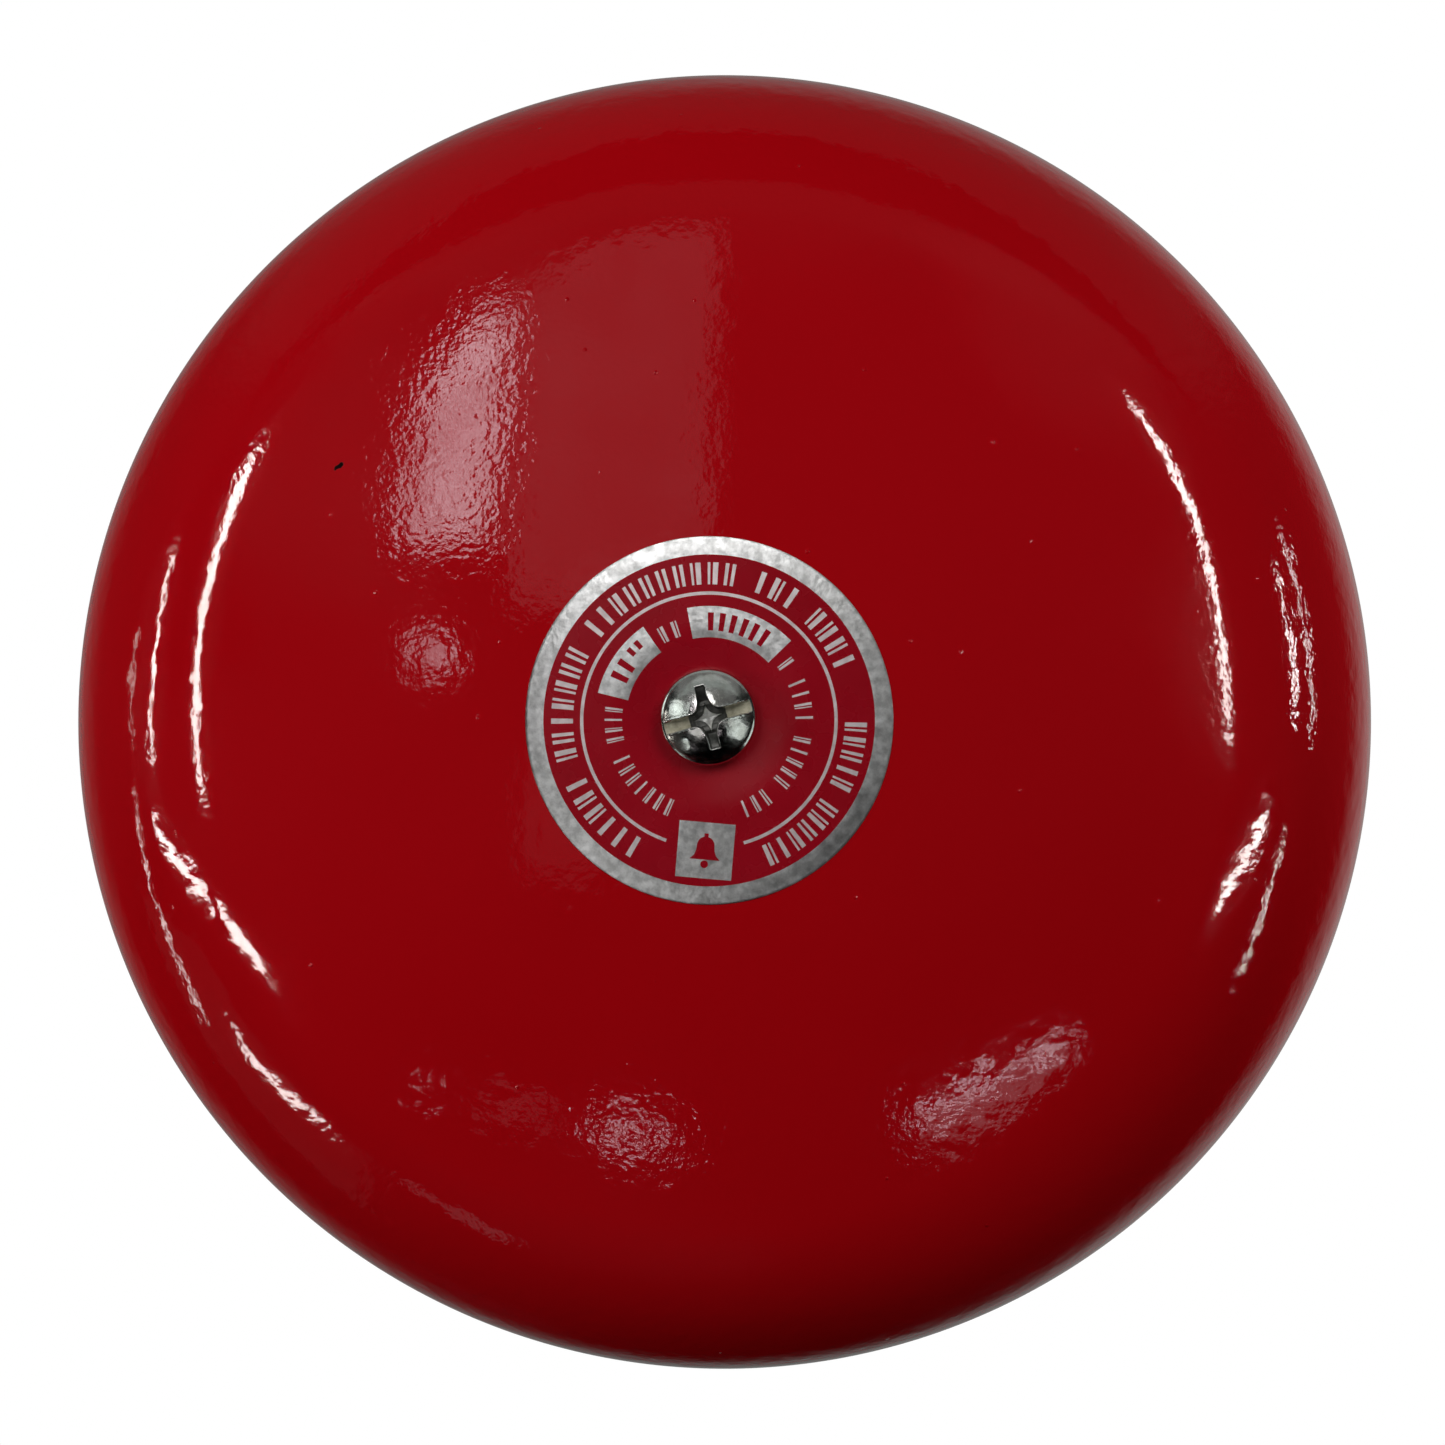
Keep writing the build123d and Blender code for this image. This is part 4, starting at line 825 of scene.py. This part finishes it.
def card(name, seen, corners, strength, tint, low, high, grain):
    """A light panel that the gong mirrors at the point seen (x, up in mm), with corners as
    (azimuth, elevation) from there."""
    x, up = seen
    out = crown_out(min(math.hypot(x, up), CROWN_EDGE))
    distance = card_distance(name, strength)
    verts = [at(x, up, out) + heading(a, e) * distance for a, e in corners]
    mesh = bpy.data.meshes.new(name)
    mesh.from_pydata([tuple(v) for v in verts], [], [tuple(range(len(verts)))])
    panel = bpy.data.objects.new(name, mesh)
    bpy.context.scene.collection.objects.link(panel)
    panel.data.materials.append(glow(name, strength, tint, low, high, grain))
    for ray in ("camera", "diffuse", "transmission", "volume_scatter", "shadow"):
        setattr(panel, "visible_" + ray, False)
    return panel


WARM = (1.0, 0.97, 0.92)
COOL = (0.90, 1.0, 0.97)
PINK = (1.0, 0.92, 1.0)
# textures: lowest and highest part of the strength, and the grain
SMOOTH, RAGGED, FLECKED = (0.85, 1.15, 9.0), (0.35, 1.6, 38.0), (0.0, 2.1, 40.0)
# name, point where the gong mirrors it, strength, tint, texture and corners
CARDS = (
    ("window_high", (-27, 32), 5.2, PINK, RAGGED,
     ((-26, 12), (-26.2, 20), (-24.8, 25.5), (-21.5, 30), (-18.6, 31.5), (-18.9, 20), (-19.2, 12))),
    ("window_low", (-29, 7), 2.8, PINK, FLECKED,
     ((-24.6, 3.6), (-24.4, 5.8), (-23.2, 6.6), (-21.8, 6.0), (-21.3, 4.1), (-22.8, 2.9))),
    ("pale_wall", (-8, 32), 0.34, PINK, SMOOTH, ((-18, 7.5), (-18, 33), (-12, 36), (-2.8, 37), (-2.3, 7.5))),
    ("left_window", (-54, 12), 26.0, WARM, SMOOTH,
     ((-52, 24), (-46.5, 22), (-45.5, 8), (-43.2, -6), (-45.8, -6), (-48.6, 6))),
    ("left_window_frame", (-52, 8), 0.05, WARM, SMOOTH, ((-46, 22), (-40, 20), (-40, -4), (-43, -4))),
    ("left_second", (-60, 8), 22.0, WARM, SMOOTH,
     ((-76, 16.5), (-73.8, 16.5), (-72.3, 7.8), (-72.8, -4), (-74.8, -4), (-74.4, 7.8))),
    ("left_third", (-64, 5), 3.5, WARM, FLECKED, ((-89.5, 9), (-88, 9), (-87, -1.5), (-88.6, -1.5))),
    ("left_strip", (-58, -17), 22.0, WARM, SMOOTH,
     ((-77, -8.5), (-65, -11.7), (-54, -13.5), (-54, -16), (-66, -14.2), (-76, -11))),
    ("left_strip_end", (-51, -26), 24.0, WARM, SMOOTH,
     ((-50, -13.8), (-42, -14.8), (-38.5, -16.5), (-38.3, -18.8), (-42, -18), (-50, -16.8))),
    ("left_low_window", (-62, -18), 6.0, WARM, FLECKED,
     ((-89.2, -6.5), (-87.2, -6.5), (-89, -12.7), (-89.5, -18), (-89, -23), (-92.4, -29), (-94.4, -29),
      (-91, -23), (-91.5, -18), (-91.2, -12.7))),
    ("left_floor_strip", (-48, -40), 18.0, WARM, SMOOTH,
     ((-73, -29.5), (-75.3, -29.8), (-78.5, -34), (-73, -38.2), (-62, -41), (-61.5, -38.9), (-71, -36),
      (-75.3, -33))),
    ("left_floor_glow", (-28, -55), 0.34, PINK, SMOOTH,
     ((-54, -46.5), (-47, -47.5), (-41, -56), (-47.5, -58))),
    ("left_low_wall", (-56, -30), 0.05, WARM, SMOOTH, ((-102, -14), (-70, -20), (-56, -46), (-105, -52))),
    ("low_left", (-8, -46), 7.5, PINK, FLECKED,
     ((-12.4, -28.9), (-9.5, -29.0), (-6.6, -30.0), (-6.4, -30.8), (-9.3, -30.3), (-12.2, -29.7))),
    ("low_left_tail", (-21, -43), 0.24, PINK, SMOOTH, ((-23, -26), (-16, -27), (-15.5, -29), (-21, -28))),
    ("low_left_spot", (-31, -40), 12.0, PINK, SMOOTH,
     ((-26.0, -25.4), (-25.4, -25.4), (-25.4, -26.0), (-26.0, -26.0))),
    ("low_right", (31, -39), 12.0, PINK, RAGGED,
     ((12.7, -28.9), (19, -25.2), (25.4, -21.7), (25.6, -22.0), (19.3, -25.6), (12.9, -29.3))),
    ("low_right_band", (32, -42), 0.80, PINK, SMOOTH,
     ((13.0, -29.6), (19, -26.0), (25.0, -22.8), (25.2, -24.2), (21.0, -27.8), (15, -31.0))),
    ("below_label", (-15, -13), 0.14, PINK, SMOOTH, ((-16.5, -2), (-10.5, -2), (-10.5, -11), (-16.5, -11))),
    ("right_window", (54, 15), 28.0, WARM, SMOOTH,
     ((34.8, 27), (37.4, 27), (39.9, 20), (39.6, 14), (38, 8), (37.7, 4), (39.2, -1.6), (37.0, -1.6),
      (35.6, 4), (35.5, 9), (37.1, 15), (36.8, 20))),
    ("right_second", (63, 9), 32.0, WARM, SMOOTH,
     ((76.8, 15.5), (78.3, 15.5), (78.8, 8), (77.4, 0), (75.9, 0), (77.2, 8))),
    ("right_third", (66, 8), 18.0, WARM, SMOOTH,
     ((88.0, 20), (89.1, 20), (89.6, 8), (89.5, -1.5), (88.2, -1.5), (88.2, 8))),
    ("right_strip", (58, -16), 28.0, WARM, SMOOTH,
     ((64, -8.4), (62, -11.4), (54, -14.2), (47, -16.6), (46, -14.6), (53, -12.0), (60, -9.2))),
    ("right_low_window", (61, -22), 28.0, WARM, SMOOTH,
     ((75.8, -12), (76.9, -12), (75.9, -18.5), (77.9, -26), (76.9, -26), (75.0, -18.5))),
    ("ceiling_left", (-40, 55), 0.10, COOL, SMOOTH, ((-66, 38), (-46, 38), (-42, 60), (-70, 60))),
)
SCREW_CARDS = (
    ("screw_left", (0, 0), 1.4, COOL, RAGGED, ((-38, 4), (-40, 22), (-66, 26), (-82, 18), (-80, 2))),
    ("screw_right", (0, 0), 0.9, COOL, RAGGED, ((38, -6), (60, -2), (82, -14), (76, -36), (44, -30))),
    ("screw_low_left", (0, 0), 1.3, COOL, RAGGED, ((-52, -36), (-80, -34), (-84, -50), (-58, -52))),
    ("screw_ceiling", (0, 0), 0.30, COOL, SMOOTH, ((-70, 26), (70, 30), (80, 84), (-80, 84))),
)
PRINTED = ("nameplate_foil_sheet", "nameplate_ink", "nameplate_line", "nameplate_blocks",
           "nameplate_marks_outer", "nameplate_marks_inner", "nameplate_block_marks", "nameplate_square",
           "nameplate_pictogram")


def light_group(name, pieces, state="INCLUDE"):
    """The pieces that a light reaches, or leaves out."""
    group = bpy.data.collections.new(name)
    for piece in pieces:
        group.objects.link(bpy.data.objects[piece])
    for row in group.collection_objects:
        row.light_linking.link_state = state
    return group


ENAMEL_ONLY = light_group("all_but_the_nameplate", PRINTED, "EXCLUDE")
GONG_ONLY = light_group("all_but_nameplate_and_screw", (*PRINTED, "gong_screw_cut"), "EXCLUDE")
SCREW_ONLY = light_group("screw", ("gong_screw_cut",))
for name, seen, strength, tint, texture, corners in CARDS + SCREW_CARDS:
    panel = card(name, seen, corners, strength, tint, *texture)
    if name.startswith("screw"):
        panel.light_linking.receiver_collection = SCREW_ONLY
    elif strength > BRIGHT:
        panel.light_linking.receiver_collection = GONG_ONLY if strength > BRIGHTEST else ENAMEL_ONLY


LAMP_DISTANCE = 1.4


def soft_light(name, azimuth, elevation, size, power):
    """A round lamp that lights the bell without being mirrored in it."""
    lamp = bpy.data.lights.new(name, "AREA")
    lamp.shape = "DISK"
    lamp.size = size
    lamp.energy = power
    source = bpy.data.objects.new(name, lamp)
    source.location = heading(azimuth, elevation) * LAMP_DISTANCE
    source.rotation_mode = "QUATERNION"
    source.rotation_quaternion = heading(azimuth, elevation).to_track_quat("Z", "Y")
    source.visible_glossy = False
    source.visible_camera = False
    bpy.context.scene.collection.objects.link(source)
    return source


# name, azimuth, elevation, size, power
LAMPS = (
    ("key_left", -30, 25, 0.8, 3.3),
    ("key_right", 36, 34, 0.8, 5.2),
    ("side_left", -75, 5, 0.6, 4.3),
    ("low_front", -20, -50, 0.8, 1.3),
    ("rear_left", -135, 0, 0.7, 9.6),
    ("rear_right", 135, 0, 0.7, 12.0),
    ("rear_low_left", -150, -42, 0.7, 5.0),
    ("rear_low_right", 150, -42, 0.7, 6.0),
)
for row in LAMPS:
    soft_light(*row)

# soft lamps for the bare metal on the front alone, because the enamel would mirror them
METAL_LAMPS = (
    ("metal_glint", -9, 27, 0.9, 4.1),
    ("metal_ceiling", -5, 62, 3.4, 3.0),
    ("metal_low", -20, -20, 0.8, 1.0),
    ("metal_right", 30, 6, 0.8, 0.4),
)
COATED = ("nameplate_ink", "nameplate_block_marks", "nameplate_pictogram")
BARE_METAL = light_group("bare_metal", [name for name in PRINTED if name not in COATED] + ["gong_screw_cut"])
for row in METAL_LAMPS:
    lamp = soft_light(*row)
    lamp.visible_glossy = True
    lamp.light_linking.receiver_collection = BARE_METAL


AMBIENT = 0.05


def make_world():
    """Camera rays see white, mirror rays a dim room, other rays an even grey."""
    world = bpy.data.worlds.new("studio")
    bpy.context.scene.world = world
    world.use_nodes = True
    tree = world.node_tree
    tree.nodes.clear()

    def span(value, *limits):
        return map_range(tree, value, *limits, kind="SMOOTHSTEP")

    def both(operation, a, b):
        made = add_node(tree, "ShaderNodeMath", operation=operation)
        tree.links.new(a, made.inputs[0])
        tree.links.new(b, made.inputs[1])
        return made.outputs[0]

    def background(colour, strength):
        made = add_node(tree, "ShaderNodeBackground")
        made.inputs["Color"].default_value = (*colour, 1.0)
        made.inputs["Strength"].default_value = strength
        return made

    def for_rays(kind, those, others):
        made = add_node(tree, "ShaderNodeMixShader")
        tree.links.new(paths.outputs[kind], made.inputs[0])
        tree.links.new(others.outputs[0], made.inputs[1])
        tree.links.new(those.outputs[0], made.inputs[2])
        return made

    split = add_node(tree, "ShaderNodeSeparateXYZ")
    tree.links.new(add_node(tree, "ShaderNodeTexCoord").outputs["Generated"], split.inputs[0])
    edge = span(split.outputs["Y"], 0.50, 0.85, 0.0, 1.0)
    deep = span(split.outputs["Y"], 0.74, 0.95, 0.0, 0.08)
    level = span(split.outputs["X"], -0.30, 0.60, 0.10, 0.32)
    lower = span(split.outputs["Z"], -0.75, -0.45, 0.0, 1.0)
    behind = both("MULTIPLY", both("MULTIPLY", both("ADD", level, deep), edge), lower)
    above = span(split.outputs["Z"], 0.50, 0.66, 0.0, 0.05)
    front = span(split.outputs["Z"], -0.40, 0.0, 0.0, 0.015)
    mirror = background(COOL, 1.0)
    tree.links.new(both("ADD", both("ADD", behind, above), front), mirror.inputs["Strength"])
    ambient = background((1.0, 1.0, 1.0), AMBIENT)
    white = background((1.0, 1.0, 1.0), 1.0)
    paths = add_node(tree, "ShaderNodeLightPath")
    seen = for_rays("Is Camera Ray", white, for_rays("Is Glossy Ray", mirror, ambient))
    output = add_node(tree, "ShaderNodeOutputWorld")
    tree.links.new(seen.outputs[0], output.inputs["Surface"])


make_world()


FLOOR_RADIUS, FLOOR_Z, FLOOR_SEGMENTS = 4.2, -0.85, 96
FADE_START, FADE_END = 1.6, 4.1
FLOOR_GLOW = 0.62


def make_floor():
    """A wide pale disc well below the bell, which fades into the white round it."""
    radii = spread(0.0, FLOOR_RADIUS, 15)[1:]
    verts = [Vector((0, 0, FLOOR_Z))]
    for r in radii:
        for s in range(FLOOR_SEGMENTS):
            a = 2 * math.pi * s / FLOOR_SEGMENTS
            verts.append(Vector((r * math.cos(a), r * math.sin(a), FLOOR_Z)))
    floor = mesh_piece("floor", verts, ring_faces(len(radii), FLOOR_SEGMENTS))
    s = Surface("floor_paint")
    s.set(Base_Color=s.mix(s.noise(3.0, 3.0), (0.86, 0.86, 0.855), (0.90, 0.90, 0.90)), Roughness=0.8)
    away = s.node("ShaderNodeVectorMath", operation="LENGTH")
    s.link(s.place, away.inputs[0])
    s.set(Alpha=s.span(away.outputs["Value"], FADE_START, FADE_END, 1.0, 0.0, "SMOOTHSTEP"))
    s.set(Emission_Color=(0.86, 0.86, 0.85), Emission_Strength=FLOOR_GLOW)
    floor.data.materials.append(s.material)
    floor.visible_glossy = False
    floor.visible_diffuse = False


make_floor()

VIEW_POINT = (0.25, -0.11, 29.0)
VIEW_AZIMUTH, VIEW_ELEVATION, VIEW_DISTANCE = 2.57, -0.25, 0.5
FOCAL_LENGTH, SENSOR_WIDTH = 108.6, 36.0
scene = bpy.context.scene
scene.view_settings.view_transform = "Standard"
lens = bpy.data.cameras.new("camera")
lens.lens = FOCAL_LENGTH
lens.sensor_width = SENSOR_WIDTH
camera = bpy.data.objects.new("camera", lens)
camera.location = at(*VIEW_POINT) + heading(VIEW_AZIMUTH, VIEW_ELEVATION) * VIEW_DISTANCE
camera.rotation_mode = "QUATERNION"
camera.rotation_quaternion = heading(VIEW_AZIMUTH, VIEW_ELEVATION).to_track_quat("Z", "Y")
scene.collection.objects.link(camera)
scene.camera = camera
